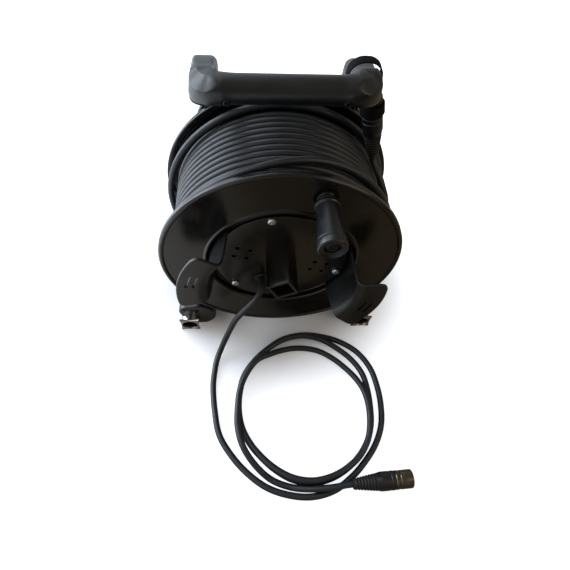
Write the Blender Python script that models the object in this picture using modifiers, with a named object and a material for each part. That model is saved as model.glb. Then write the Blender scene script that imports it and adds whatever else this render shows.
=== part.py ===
"""Network cable reel: a small drum that turns on a tubular carrying frame, with its cable.

X runs to the right, Y towards the back and Z up. The origin is on the floor, under the middle of the reel.
Sizes are written in millimetres and turned to metres where a mesh is made.
"""

import math

import bmesh
import bpy
from mathutils import Matrix, Vector

MM = 0.001
GAP = 0.3

# The drum. Its own depth runs from 0 at the front flange's face to DRUM_WIDTH at the rear flange's.
FLANGE_RADIUS = 119.0
DRUM_WIDTH = 113.0
AXIS_HEIGHT = 134.2
FLANGE_STEPS = 36
RIM_WIDTH = 5.0
RIM_DEPTH = 6.0
WEB_FRONT = 1.6
WEB_BACK = 4.6
WELL_RADIUS = 73.9
WELL_DEPTH = 8.0
SEAT_RADIUS = 66.4
SEAT_DEPTH = 6.3
RING_BACK = 11.0
RING_RADIUS = 52.0
CORE_RADIUS = 65.0
CORE_BORE = 57.5
HUB_RADIUS = 15.0
HUB_BORE = 10.3
HUB_FRONT = 16.5
HUB_BACK = 110.6

# The panel that closes the drum's front, with the square plug park on its middle.
PANEL_RADIUS = 66.0
PANEL_FRONT = 3.0
PANEL_BACK = 6.0
PANEL_SCREW_CIRCLE = 61.5
PANEL_SCREW_ANGLES = (100.4, 220.4, 340.4)
SCREW_SHANK = 2.0
SCREW_HEAD = 4.0
SCREW_HEAD_HEIGHT = 2.2
PARK_SIDE = 24.0
PARK_WALL = 3.0
PARK_FRONT = -32.5
PARK_TURN = 26.0
PARK_HOLE = 8.5
SOCKET_HOLE = 2.2
SOCKET_PITCH = 13.0
SOCKET_CIRCLE = 40.5
FEATURE_ANGLE = 162.5
EXIT_X, EXIT_Z = -18.8, -30.3
EXIT_HOLE = 5.8

# The two hooks that hold the lead for storage, opposite each other on the drum.
HOOK_ANGLES = {"left": 165.0, "right": 345.0}
HOOK_HALF_ANGLE = 24.5
HOOK_BASE_FLARE = 3.0
HOOK_COLUMNS = 7
HOOK_THICKNESS = 2.6
HOOK_CORNER = 7.0
HOOK_RIM = 98.0
HOOK_PEG_CIRCLE = 69.9
HOOK_PEG_ANGLE = 12.0
HOOK_PEG = 1.8
HOOK_SLOT_CIRCLES = (84.5, 91.0)
HOOK_SLOT_WIDTH = 2.6
HOOK_SLOT_ANGLES = (-7.5, 4.0)

# The crank, a grip that turns freely on a bolt through the front flange.
CRANK_X, CRANK_Z = 34.2, 87.3
CRANK_LENGTH = 49.5
CRANK_BOLT = 4.0
CRANK_RECESS = 6.6
CRANK_RECESS_DEPTH = 5.2
CRANK_NUT = 7.5

# The axle stands fixed on the frame's cross plate and carries the drum.
AXLE_RADIUS = 8.0
AXLE_FRONT = 13.9
AXLE_BACK = 141.5
MIDDLE_DEPTH = (AXLE_BACK - CRANK_LENGTH) / 2
COLLAR_FRONT = 114.8
COLLAR_BACK = 123.1
PLATE_FRONT = 123.4
PLATE_THICKNESS = 5.0
SPIGOT = 6.0

# The frame: one bent tube on each side, that is rail below and upright behind the drum.
TUBE_RADIUS = 10.0
TUBE_WALL = 1.5
TUBE_BEND = 36.0
RAIL_X = 104.0
RAIL_Z = 12.0
RAIL_FRONT = -2.0
UPRIGHT_DEPTH = 126.0
UPRIGHT_TOP_X, UPRIGHT_TOP_Z = 70.2, 252.0
RAIL_END_SIDE = 22.4
RAIL_END_HOLE = 7.4
RAIL_END_FRONT = -5.0
FOOT_LOBE = (93.0, 20.0)
FOOT_SHOULDER = (105.1, 27.5)
FOOT_SHOULDER_RADIUS = 10.5
FOOT_FLAT = 1.0
FOOT_DEPTHS = {"front": (4.5, 34.0), "rear": (62.0, 91.5)}

# The carrying handle, one moulding whose arms run back and down onto the uprights.
GRIP_DEPTH = 55.0
GRIP_HEIGHT = 289.0
GRIP_RADIUS = 11.4
ARM_X = 66.0
CORNER_RADIUS = 14.0
GRIP_SCREW_X = 47.0
GRIP_SCREW_HEIGHT = GRIP_HEIGHT - 5.0
SECTION_POINTS = 16
SOCKET_SIDE = 27.0

# The network cable and its connectors.
CABLE_RADIUS = 3.4
CABLE_PITCH = 7.25
LOOP_POINTS = 24
WINDING_RADIUS = 103.4
WINDING_FRONT = 15.3
WINDING_TURNS = 11.4
FILLING_RADIUS = 98.6
CONNECTOR_RADIUS = 9.5
CONNECTOR_LENGTH = 61.5
BOOT_LENGTH = 24.0
BOOT_RADIUS = 8.2
BOOT_TIP = 5.2
BODY_END = 43.0
CUP_DEPTH = 9.5

# The drum's last turn climbs on the left, crosses the top and ends below. Its keys are (angle, value), and it
# runs clockwise, so their angles are taken as negative.
LAST_TURN_ANGLE = 255.0
LAST_TURN_END = -90.0
LAST_TURN_RADIUS = ((-255, 103.4), (-165, 110.8))
LAST_TURN_DEPTH = ((-255, 15.3), (-210, 13.4), (-125, 14.5), (-60, 31.0), (90, 34.0))

# The loose turn round the drum that ends in the hanging connector. It doesn't turn with the drum.
TAIL_ANGLES = (-90, 375)
TAIL_RADIUS = ((90, 111.3), (180, 113.5), (270, 111.3))
TAIL_DEPTH = ((-90, 97.5), (90, 96.0), (180, 86.0), (270, 68.0), (378, 55.0))
TAIL_RISE = ((101.0, 58.0, 180.0), (96.0, 66.0, 190.0))
TAIL_TOP = Vector((75.5, 82.0, 266.0))
TAIL_BOTTOM = Vector((88.5, 77.0, 206.0))
TAIL_DOWN = (TAIL_BOTTOM - TAIL_TOP).normalized()
STRAP_FRONT, STRAP_BACK = 80.0, 86.0
STRAP_LEFT, STRAP_RIGHT = 52.4, 80.0
STRAP_LOW, STRAP_TOP = 269.7, 298.2
STRAP_CORNER = 12.0
STRAP_THICKNESS = 1.4

# The cable's inner end, from the barrel's hole to the grommet.
INNER_RUN_ANGLE = 238.0
INNER_RUN_DEPTH = 36.0
LEAD_START = PANEL_FRONT - 1.6

# The lead hangs from the grommet, then lies coiled on the floor in front. The coil's keys are (angle, radius,
# height of the cable's middle), anticlockwise seen from above.
FLOOR_LIE = 3.5
OVER_ONE = 10.9
LEAD_HANG = (
    (EXIT_X, LEAD_START - GAP, AXIS_HEIGHT + EXIT_Z),
    (EXIT_X, -5.5, AXIS_HEIGHT + EXIT_Z),
    (-21.0, -14.0, 101.0),
    (-26.5, -20.0, 95.0),
    (-34.0, -23.0, 86.0),
    (-42.0, -24.0, 73.0),
    (-48.5, -24.0, 58.0),
    (-54.0, -25.0, 41.0),
    (-60.0, -28.0, 24.0),
    (-66.0, -35.0, 11.0),
    (-71.0, -46.0, 4.6),
    (-73.5, -60.0, FLOOR_LIE),
    (-74.9, -79.2, FLOOR_LIE),
)
COIL_CENTRE = (29.0, -108.0)
COIL_KEYS = (
    (165, 107.4, FLOOR_LIE),
    (180, 101.0, FLOOR_LIE),
    (225, 92.5, FLOOR_LIE),
    (270, 90.0, FLOOR_LIE),
    (315, 82.5, FLOOR_LIE),
    (360, 85.0, FLOOR_LIE),
    (405, 94.0, FLOOR_LIE),
    (450, 91.0, FLOOR_LIE),
    (495, 81.7, FLOOR_LIE),
    (540, 75.0, FLOOR_LIE),
    (585, 71.4, FLOOR_LIE),
    (630, 77.0, FLOOR_LIE),
    (675, 74.5, FLOOR_LIE),
    (720, 72.6, FLOOR_LIE),
    (765, 81.8, FLOOR_LIE),
    (810, 86.5, OVER_ONE),
    (855, 79.5, OVER_ONE),
    (900, 74.5, OVER_ONE),
    (945, 72.0, OVER_ONE),
    (990, 76.0, OVER_ONE),
    (1035, 74.7, OVER_ONE),
    (1080, 69.1, OVER_ONE),
    (1125, 68.3, FLOOR_LIE),
    (1170, 73.5, FLOOR_LIE),
    (1191, 75.0, FLOOR_LIE),
    (1204, 73.0, 15.0),
    (1215, 76.0, 18.0),
    (1260, 75.5, 18.3),
    (1290, 81.0, 16.0),
    (1320, 83.2, FLOOR_LIE),
    (1335, 83.0, FLOOR_LIE),
    (1350, 83.4, 8.0),
    (1365, 86.0, OVER_ONE),
)
PLUG_START = Vector((70.4, -189.0, OVER_ONE))
PLUG_ALONG = Vector((1.0, 0.05, -0.0225)).normalized()


def fresh_collection(name):
    collection = bpy.data.collections.new(name)
    bpy.context.scene.collection.children.link(collection)
    return collection


for old in list(bpy.data.objects):
    bpy.data.objects.remove(old, do_unlink=True)

REEL = fresh_collection("network_cable_reel")
CUTTERS = fresh_collection("cutters")


def material(name, colour, roughness, metallic=0.0):
    """A Principled material of one colour, given as red, green and blue from 0 to 1."""
    made = bpy.data.materials.new(name)
    made.use_nodes = True
    shader = made.node_tree.nodes["Principled BSDF"]
    shader.inputs["Base Color"].default_value = (*colour, 1.0)
    shader.inputs["Roughness"].default_value = roughness
    shader.inputs["Metallic"].default_value = metallic
    return made


GLOSS_BLACK = material("gloss_black_plastic", (0.012, 0.012, 0.013), 0.18)
SATIN_BLACK = material("satin_black_plastic", (0.02, 0.021, 0.023), 0.38)
BLACK_COAT = material("black_powder_coat", (0.018, 0.018, 0.019), 0.5)
CHROME = material("bright_chrome_steel", (0.78, 0.78, 0.78), 0.1, 1.0)
RUBBER = material("black_rubber", (0.016, 0.016, 0.017), 0.7)
ZINC = material("zinc_plated_steel", (0.72, 0.72, 0.7), 0.3, 1.0)
BRONZE = material("bearing_bronze", (0.5, 0.34, 0.16), 0.4, 1.0)
NICKEL = material("nickel_shell", (0.5, 0.48, 0.44), 0.28, 1.0)
JACKET = material("grey_cable_jacket", (0.16, 0.175, 0.18), 0.45)
STRAP = material("black_strap", (0.02, 0.019, 0.02), 0.8)


def empty(name, location, parent=None):
    made = bpy.data.objects.new(name, None)
    REEL.objects.link(made)
    made.location = Vector(location) * MM
    made.parent = parent
    return made


FRAME = empty("frame_origin", (0, -MIDDLE_DEPTH, 0))
DRUM = empty("drum_axis", (0, 0, AXIS_HEIGHT), FRAME)
CRANK = empty("crank_axis", (CRANK_X, 0, CRANK_Z), DRUM)
AXLE = empty("axle_line", (0, 0, AXIS_HEIGHT), FRAME)


def placed(name, data, parent, finish=None):
    """An object of the reel, or a cutter where it has no finish."""
    made = bpy.data.objects.new(name, data)
    made.parent = parent
    if finish is None:
        CUTTERS.objects.link(made)
        made.hide_render = True
        made.display_type = "WIRE"
        return made
    REEL.objects.link(made)
    data.materials.append(finish)
    return made


def smooth(mesh, degrees=35):
    mesh.shade_smooth()
    mesh.set_sharp_from_angle(angle=math.radians(degrees))
    return mesh


def mesh_of(name, shape):
    """A mesh from a bmesh whose points are in millimetres."""
    bmesh.ops.scale(shape, vec=(MM, MM, MM), verts=shape.verts)
    mesh = bpy.data.meshes.new(name)
    shape.to_mesh(mesh)
    shape.free()
    return smooth(mesh)


def polar(radius, degrees):
    """A point across the drum, x and z, at an angle from the right, anticlockwise seen from the front."""
    angle = math.radians(degrees)
    return radius * math.cos(angle), radius * math.sin(angle)


def turned(name, profile, parent, finish, steps=40, at=(0, 0), closed=True):
    """A shape turned about the front-to-back line through at. Its profile is (radius, depth), outer side first
    and from back to front there. A closed profile makes a ring, an open one a solid that meets the axis."""
    shape = bmesh.new()
    rim = [shape.verts.new((radius, 0, depth)) for radius, depth in profile]
    for first, second in zip(rim, rim[1:]):
        shape.edges.new((first, second))
    if closed:
        shape.edges.new((rim[-1], rim[0]))
    made = placed(name, mesh_of(name, shape), parent, finish)
    made.rotation_euler = (math.radians(-90), 0, 0)
    made.location = (at[0] * MM, 0, at[1] * MM)
    screw = made.modifiers.new("turn", "SCREW")
    screw.steps = steps
    screw.render_steps = steps
    screw.use_merge_vertices = True
    screw.merge_threshold = 0.00005
    screw.use_smooth_shade = True
    return made


def cylinder(name, radius, start, end, parent, finish=None, sides=24, end_radius=None):
    """A straight rod, or a cone, between two points."""
    start, end = Vector(start), Vector(end)
    along = end - start
    lie = Matrix.Translation((start + end) / 2) @ along.to_track_quat("Z", "Y").to_matrix().to_4x4()
    shape = bmesh.new()
    bmesh.ops.create_cone(
        shape,
        cap_ends=True,
        segments=sides,
        radius1=radius,
        radius2=radius if end_radius is None else end_radius,
        depth=along.length,
        matrix=lie,
    )
    return placed(name, mesh_of(name, shape), parent, finish)


def across(name, radius, at, front, back, parent, finish=None, sides=16):
    """A rod that runs straight from front to back through the point at."""
    return cylinder(name, radius, (at[0], front, at[1]), (at[0], back, at[1]), parent, finish, sides)


def boolean(obj, other, operation):
    step = obj.modifiers.new(other.name, "BOOLEAN")
    step.operation = operation
    step.object = other
    step.solver = "EXACT"


def cut(obj, *cutters):
    for cutter in cutters:
        boolean(obj, cutter, "DIFFERENCE")


def join(obj, *others):
    for other in others:
        boolean(obj, other, "UNION")


def as_mesh(made):
    """The same object as a mesh, its caps welded, so that it can be cut and joined."""
    bpy.context.view_layer.update()
    evaluated = made.evaluated_get(bpy.context.evaluated_depsgraph_get())
    mesh = bpy.data.meshes.new_from_object(evaluated)
    shape = bmesh.new()
    shape.from_mesh(mesh)
    bmesh.ops.remove_doubles(shape, verts=shape.verts, dist=0.00001)
    shape.to_mesh(mesh)
    shape.free()
    name, curve = made.name, made.data
    solid = bpy.data.objects.new(name + "_solid", smooth(mesh))
    for collection in made.users_collection:
        collection.objects.link(solid)
    solid.parent = made.parent
    solid.matrix_world = made.matrix_world
    solid.hide_render = made.hide_render
    solid.display_type = made.display_type
    bpy.data.objects.remove(made, do_unlink=True)
    bpy.data.curves.remove(curve)
    solid.name = name
    return solid


def curve_data(name, outlines, dimensions):
    curve = bpy.data.curves.new(name, "CURVE")
    curve.dimensions = dimensions
    for points, cyclic in outlines:
        spline = curve.splines.new("POLY")
        spline.points.add(len(points) - 1)
        for place, point in zip(spline.points, points):
            place.co = (*(Vector(point).to_3d() * MM), 1.0)
        spline.use_cyclic_u = cyclic
        spline.use_smooth = True
    return curve


def tube(name, points, radius, parent, finish, resolution=2, caps=True):
    """A round tube along points."""
    curve = curve_data(name, [(points, False)], "3D")
    curve.bevel_depth = radius * MM
    curve.bevel_resolution = resolution
    curve.use_fill_caps = caps
    return placed(name, curve, parent, finish)


def flat_piece(name, outlines, front, back, parent, finish):
    """A flat piece standing across the reel: outlines of (x, z), the inner ones holes, from front to back."""
    curve = curve_data(name, [(outline, True) for outline in outlines], "2D")
    curve.fill_mode = "BOTH"
    curve.extrude = (back - front) / 2 * MM
    made = placed(name, curve, parent, finish)
    made.rotation_euler = (math.radians(90), 0, 0)
    made.location = (0, (front + back) / 2 * MM, 0)
    return made


def arc(centre, radius, start, end, steps):
    """Points round a centre, from one angle to another in degrees."""
    found = []
    for step in range(steps + 1):
        x, z = polar(radius, start + (end - start) * step / steps)
        found.append((centre[0] + x, centre[1] + z))
    return found


def circle(centre, radius, sides=20):
    return arc(centre, radius, 0, 360 - 360 / sides, sides - 1)


def rounded_box(centre, width, height, corner, steps=4):
    """A rectangle's outline with round corners."""
    found = []
    for turn, (side, top) in enumerate(((1, 1), (-1, 1), (-1, -1), (1, -1))):
        middle = (centre[0] + side * (width / 2 - corner), centre[1] + top * (height / 2 - corner))
        found += arc(middle, corner, 90 * turn, 90 * turn + 90, steps)
    return found


def turned_by(points, degrees):
    cosine, sine = math.cos(math.radians(degrees)), math.sin(math.radians(degrees))
    return [(x * cosine - z * sine, x * sine + z * cosine) for x, z in points]


def rounded_path(corners, bend, steps=6):
    """Straight runs through corners, with each inner corner rounded to the bend's radius."""
    points = [Vector(corners[0])]
    for before, corner, after in zip(corners, corners[1:], corners[2:]):
        corner = Vector(corner)
        back = (Vector(before) - corner).normalized()
        on = (Vector(after) - corner).normalized()
        half = back.angle(on) / 2
        centre = corner + (back + on).normalized() * bend / math.sin(half)
        first = corner + back * bend / math.tan(half) - centre
        last = corner + on * bend / math.tan(half) - centre
        sweep = first.angle(last)
        for step in range(steps + 1):
            share = step / steps
            mixed = first * math.sin((1 - share) * sweep) + last * math.sin(share * sweep)
            points.append(centre + mixed / math.sin(sweep))
    points.append(Vector(corners[-1]))
    return points


def smooth_route(stations, spacing):
    """Points at even spacing along one smooth curve through the stations."""
    stations = [Vector(station) for station in stations]
    ends = [2 * stations[0] - stations[1], 2 * stations[-1] - stations[-2]]
    held = [ends[0], *stations, ends[1]]
    fine = []
    for index in range(1, len(held) - 2):
        before, start, end, after = held[index - 1 : index + 3]
        for step in range(12):
            t = step / 12
            fine.append(
                0.5
                * (
                    2 * start
                    + (end - before) * t
                    + (2 * before - 5 * start + 4 * end - after) * t * t
                    + (3 * start - before - 3 * end + after) * t**3
                )
            )
    fine.append(stations[-1])
    return even(fine, spacing)


def even(fine, spacing):
    """The same line with its points spread evenly, about one spacing apart."""
    length = sum((b - a).length for a, b in zip(fine, fine[1:]))
    count = max(2, round(length / spacing))
    wanted = [length * index / count for index in range(1, count)]
    found, run = [fine[0]], 0.0
    for start, end in zip(fine, fine[1:]):
        step = (end - start).length
        while wanted and wanted[0] <= run + step:
            found.append(start.lerp(end, (wanted.pop(0) - run) / step))
        run += step
    return [*found, fine[-1]]


def keyed(keys, at):
    """A value read smoothly from (place, value) pairs."""
    for (low, first), (high, last) in zip(keys, keys[1:]):
        if at <= high:
            share = max(0.0, (at - low) / (high - low))
            share = share * share * (3 - 2 * share)
            return first + (last - first) * share
    return keys[-1][1]


def least_gap(points, radius):
    """The least space between passes of one tube, measured between its points and the runs between them."""
    least = float("inf")
    away = 5 * radius
    length = [0.0]
    for a, b in zip(points, points[1:]):
        length.append(length[-1] + (b - a).length)
    for index, point in enumerate(points):
        for other in range(len(points) - 1):
            if abs(length[other] - length[index]) < away or abs(length[other + 1] - length[index]) < away:
                continue
            start, end = points[other], points[other + 1]
            run = end - start
            share = min(1.0, max(0.0, (point - start).dot(run) / run.length_squared))
            least = min(least, (start + run * share - point).length - 2 * radius)
    return least


def rim_profile():
    """A flange's outer part: the back of its rim, the round rim and the thin web's front."""
    return [
        (FLANGE_RADIUS, RIM_DEPTH),
        (FLANGE_RADIUS, 1.5),
        (FLANGE_RADIUS - 1.5, 0.0),
        (FLANGE_RADIUS - 3.5, 0.0),
        (FLANGE_RADIUS - RIM_WIDTH, WEB_FRONT),
    ]


def bead_profile():
    """The bead round the front flange's well."""
    return [(WELL_RADIUS + 3.0, WEB_FRONT), (WELL_RADIUS + 1.4, 0.4), (WELL_RADIUS, 0.2)]


def well_profile():
    """The well whose floor seats the panel."""
    return [
        (WELL_RADIUS - 1.2, WEB_FRONT),
        (WELL_RADIUS - 1.4, WELL_DEPTH - 1.5),
        (WELL_RADIUS - 2.6, WELL_DEPTH),
        (SEAT_RADIUS + 1.0, WELL_DEPTH),
        (SEAT_RADIUS, SEAT_DEPTH),
    ]


def web_profile():
    """A flange's inner side, from the ring that rests on the barrel's end out to the rim."""
    return [
        (WELL_RADIUS + 1.0, RING_BACK),
        (WELL_RADIUS + 2.6, WEB_BACK),
        (FLANGE_RADIUS - 6.2, WEB_BACK),
        (FLANGE_RADIUS - RIM_WIDTH, RIM_DEPTH),
    ]


def to_the_back(profile):
    """The same section for the other end of the drum."""
    return [(radius, DRUM_WIDTH - depth) for radius, depth in reversed(profile)]


def screw_places():
    return [polar(PANEL_SCREW_CIRCLE, angle) for angle in PANEL_SCREW_ANGLES]


def hook_peg_places():
    return [
        polar(HOOK_PEG_CIRCLE, middle + side * HOOK_PEG_ANGLE)
        for middle in HOOK_ANGLES.values()
        for side in (-1, 1)
    ]


def front_flange():
    profile = rim_profile() + bead_profile() + well_profile() + [(RING_RADIUS, SEAT_DEPTH)]
    profile += [(RING_RADIUS, RING_BACK), *web_profile()]
    made = turned("front_flange", profile, DRUM, GLOSS_BLACK, FLANGE_STEPS)
    for number, place in enumerate(screw_places()):
        cut(made, across(f"flange_screw_hole_{number}", SCREW_SHANK + GAP, place, 0, 20, DRUM, sides=12))
    for number, place in enumerate(hook_peg_places()):
        cut(made, across(f"hook_peg_hole_{number}", HOOK_PEG + GAP, place, 5, 20, DRUM, sides=12))
    cut(made, across("crank_bolt_hole", CRANK_BOLT + GAP, (CRANK_X, CRANK_Z), -5, 20, DRUM, sides=20))


def rear_flange():
    bore, floor_back = HUB_RADIUS + 2, SEAT_DEPTH + 3
    well = [(WELL_RADIUS, WEB_FRONT), (WELL_RADIUS - 1.4, SEAT_DEPTH), (bore, SEAT_DEPTH)]
    ring_step = [(bore, floor_back), (RING_RADIUS, floor_back), (RING_RADIUS, RING_BACK)]
    profile = to_the_back(rim_profile() + well + ring_step + web_profile())
    made = turned("rear_flange", profile, DRUM, GLOSS_BLACK, FLANGE_STEPS)
    for number, place in enumerate(screw_places()):
        hole = across(f"rear_screw_hole_{number}", SCREW_SHANK + GAP, place, 95, 120, DRUM, sides=12)
        cut(made, hole)


def drum_core():
    """The barrel under the cable: an outer tube and a hub for the axle, joined by a web in the middle."""
    front, back = RING_BACK + GAP, DRUM_WIDTH - RING_BACK - GAP
    web_front, web_back = DRUM_WIDTH / 2 - 2, DRUM_WIDTH / 2 + 2
    profile = [
        (CORE_RADIUS, back),
        (CORE_RADIUS, front),
        (CORE_BORE, front),
        (CORE_BORE, web_front),
        (HUB_RADIUS, web_front),
        (HUB_RADIUS, HUB_FRONT),
        (HUB_BORE, HUB_FRONT),
        (HUB_BORE, HUB_BACK),
        (HUB_RADIUS, HUB_BACK),
        (HUB_RADIUS, web_back),
        (CORE_BORE, web_back),
        (CORE_BORE, back),
    ]
    made = turned("drum_core", profile, DRUM, SATIN_BLACK, 24)
    for number, place in enumerate(screw_places()):
        for end, near, far in (("front", 0, 26), ("rear", DRUM_WIDTH - 26, DRUM_WIDTH)):
            hole = across(f"core_hole_{end}_{number}", SCREW_SHANK + GAP, place, near, far, DRUM, sides=12)
            cut(made, hole)
    out_x, out_z = polar(CORE_RADIUS + 5, INNER_RUN_ANGLE)
    in_x, in_z = polar(CORE_BORE - 5, INNER_RUN_ANGLE)
    inside, outside = (in_x, INNER_RUN_DEPTH, in_z), (out_x, INNER_RUN_DEPTH, out_z)
    cut(made, cylinder("core_cable_hole", CABLE_RADIUS + 1.6, inside, outside, DRUM))


def socket_hole_places():
    """Two squares of four screw holes, opposite each other, where sockets can be fitted."""
    half = SOCKET_PITCH / 2
    corners = [(SOCKET_CIRCLE + a * half, b * half) for a in (-1, 1) for b in (-1, 1)]
    return turned_by(corners, FEATURE_ANGLE) + turned_by(corners, FEATURE_ANGLE + 180)


def hub_panel():
    disc = [
        (PANEL_RADIUS, PANEL_BACK),
        (PANEL_RADIUS, PANEL_FRONT),
        (PARK_HOLE, PANEL_FRONT),
        (PARK_HOLE, PANEL_BACK),
    ]
    made = turned("hub_panel", disc, DRUM, GLOSS_BLACK, FLANGE_STEPS)
    outer = turned_by(rounded_box((0, 0), PARK_SIDE, PARK_SIDE, 1.5, 2), PARK_TURN)
    inside = PARK_SIDE - 2 * PARK_WALL
    inner = turned_by(rounded_box((0, 0), inside, inside, 1.0, 2), PARK_TURN)
    park = flat_piece("plug_park", [outer, inner], PARK_FRONT, PANEL_FRONT + 1, DRUM, None)
    join(made, as_mesh(park))
    for number, place in enumerate(screw_places()):
        cut(made, across(f"panel_screw_hole_{number}", SCREW_SHANK + GAP, place, 0, 10, DRUM, sides=12))
    for number, place in enumerate(socket_hole_places()):
        cut(made, across(f"socket_hole_{number}", SOCKET_HOLE, place, 0, 10, DRUM, sides=10))
    cut(made, across("cable_exit_hole", EXIT_HOLE, (EXIT_X, EXIT_Z), 0, 10, DRUM))


def pan_head(face, towards, head, height, shank, length):
    """A pan head screw's section. Its head stands on the face and its shank runs the other way."""
    points = [
        (0, face - towards * height),
        (head * 0.6, face - towards * height),
        (head, face - towards * height * 0.4),
        (head, face),
        (shank, face),
        (shank, face + towards * length),
        (0, face + towards * length),
    ]
    return points if towards < 0 else points[::-1]


def flange_screws():
    """Three screws through the panel and front flange, and three through the rear flange, into the barrel."""
    for number, place in enumerate(screw_places(), 1):
        front = pan_head(PANEL_FRONT - GAP, 1, SCREW_HEAD, SCREW_HEAD_HEIGHT, SCREW_SHANK, 22)
        turned(f"panel_screw_{number}", front, DRUM, ZINC, 8, place, closed=False)
        seat = DRUM_WIDTH - SEAT_DEPTH + GAP
        back = pan_head(seat, -1, SCREW_HEAD, SCREW_HEAD_HEIGHT, SCREW_SHANK, 18)
        turned(f"rear_screw_{number}", back, DRUM, ZINC, 8, place, closed=False)


def hook_stations():
    """The hook's section, base to rim, as (radius, depth): a wall that leans out, a bend and a wide lip."""
    wall = [(69.9, 7.6), (69.9, 1.0), (70.2, -9.0), (71.0, -20.0), (72.2, -29.0)]
    bend = [(73.4, -32.6), (75.8, -35.0), (79.4, -36.2)]
    lip_start = HOOK_RIM - HOOK_CORNER
    lip = [(lip_start, -37.0)]
    for share in (0.4, 0.7, 0.9, 1.0):
        lip.append((lip_start + HOOK_CORNER * share, -37.0 - 0.8 * share))
    return wall + bend + lip


def hook_half_angle(radius, depth):
    """Half the hook's sweep: more at the base, and less where the rim's corners are round."""
    past = max(0.0, radius - (HOOK_RIM - HOOK_CORNER))
    lost = HOOK_CORNER - math.sqrt(max(0.0, HOOK_CORNER**2 - past**2))
    flare = HOOK_BASE_FLARE * min(1.0, max(0.0, 1 + depth / 30))
    return HOOK_HALF_ANGLE + flare - math.degrees(lost / radius)


def hook(side, middle):
    shape = bmesh.new()
    rows = []
    for radius, depth in hook_stations():
        half = hook_half_angle(radius, depth)
        row = []
        for column in range(HOOK_COLUMNS + 1):
            x, z = polar(radius, middle - half + 2 * half * column / HOOK_COLUMNS)
            row.append(shape.verts.new((x, depth, z)))
        rows.append(row)
    for near, far in zip(rows, rows[1:]):
        for column in range(HOOK_COLUMNS):
            shape.faces.new((near[column], near[column + 1], far[column + 1], far[column]))
    bmesh.ops.recalc_face_normals(shape, faces=shape.faces)
    made = placed(f"stowage_hook_{side}", mesh_of(f"stowage_hook_{side}", shape), DRUM, SATIN_BLACK)
    shell = made.modifiers.new("wall", "SOLIDIFY")
    shell.thickness = HOOK_THICKNESS * MM
    shell.offset = 0
    for radius in HOOK_SLOT_CIRCLES:
        low, high = (middle + angle for angle in HOOK_SLOT_ANGLES)
        near = arc((0, 0), radius - HOOK_SLOT_WIDTH / 2, low, high, 1)
        far = arc((0, 0), radius + HOOK_SLOT_WIDTH / 2, high, low, 1)
        cut(made, as_mesh(flat_piece(f"slot_{side}_{radius:.0f}", [near + far], -42, -32, DRUM, None)))
    for turn in (-HOOK_PEG_ANGLE, HOOK_PEG_ANGLE):
        place = polar(HOOK_PEG_CIRCLE, middle + turn)
        join(made, across(f"hook_peg_{side}_{turn:.0f}", HOOK_PEG, place, 4, 10.6, DRUM, sides=12))


def crank():
    end = -CRANK_LENGTH
    seat = end + CRANK_RECESS_DEPTH
    grip = [
        (10.4, -1.6),
        (11.0, -2.4),
        (11.0, -5.0),
        (9.9, -6.6),
        (10.1, -14.0),
        (10.9, -26.0),
        (11.9, -38.0),
        (12.7, end + 4.0),
        (12.6, end + 1.6),
        (11.9, end + 0.3),
        (10.9, end),
        (7.6, end + 1.6),
        (CRANK_RECESS, end + 1.6),
        (CRANK_RECESS, seat),
        (CRANK_BOLT + GAP, seat),
        (CRANK_BOLT + GAP, -1.6),
    ]
    turned("crank_grip", grip, CRANK, SATIN_BLACK, 20)
    bolt = pan_head(seat - GAP, 1, CRANK_RECESS - 1, 3.0, CRANK_BOLT, CRANK_LENGTH + 4.9)
    turned("crank_bolt", bolt, CRANK, ZINC, 16, closed=False)
    bore, back = CRANK_BOLT + GAP, WEB_FRONT - GAP
    washer = [(8.5, back), (8.5, -1.3), (bore, -1.3), (bore, back)]
    turned("crank_washer", washer, CRANK, ZINC, 16)
    nut = across("crank_nut", CRANK_NUT, (0, 0), WEB_BACK + GAP, WEB_BACK + 4.8, CRANK, ZINC, sides=6)
    cut(nut, across("crank_nut_bore", CRANK_BOLT + GAP, (0, 0), 0, 20, CRANK, sides=20))


def exit_grommet():
    """A rubber ring in the panel, round the cable where it leaves the drum."""
    bore = CABLE_RADIUS + GAP
    profile = [
        (7.4, PANEL_BACK + 1.4),
        (7.4, PANEL_BACK + GAP),
        (EXIT_HOLE - GAP, PANEL_BACK + GAP),
        (EXIT_HOLE - GAP, PANEL_FRONT - GAP),
        (7.4, PANEL_FRONT - GAP),
        (6.8, PANEL_FRONT - 1.6),
        (bore, PANEL_FRONT - 1.6),
        (bore, PANEL_BACK + 1.4),
    ]
    turned("exit_grommet", profile, DRUM, RUBBER, 16, (EXIT_X, EXIT_Z))


def inner_run():
    """The cable inside the drum, from the hole in the barrel to the grommet."""
    radius_in = CORE_RADIUS - 1.0
    stations = []
    for radius in (radius_in, radius_in - 8, radius_in - 16):
        x, z = polar(radius, INNER_RUN_ANGLE)
        stations.append((x, INNER_RUN_DEPTH, z))
    x, z = polar(41, INNER_RUN_ANGLE)
    stations.append((x, INNER_RUN_DEPTH - 5, z))
    stations += [(EXIT_X, depth, EXIT_Z) for depth in (22, 14, 8, LEAD_START)]
    tube("inner_run", smooth_route(stations, 7), CABLE_RADIUS, DRUM, JACKET)


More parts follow.
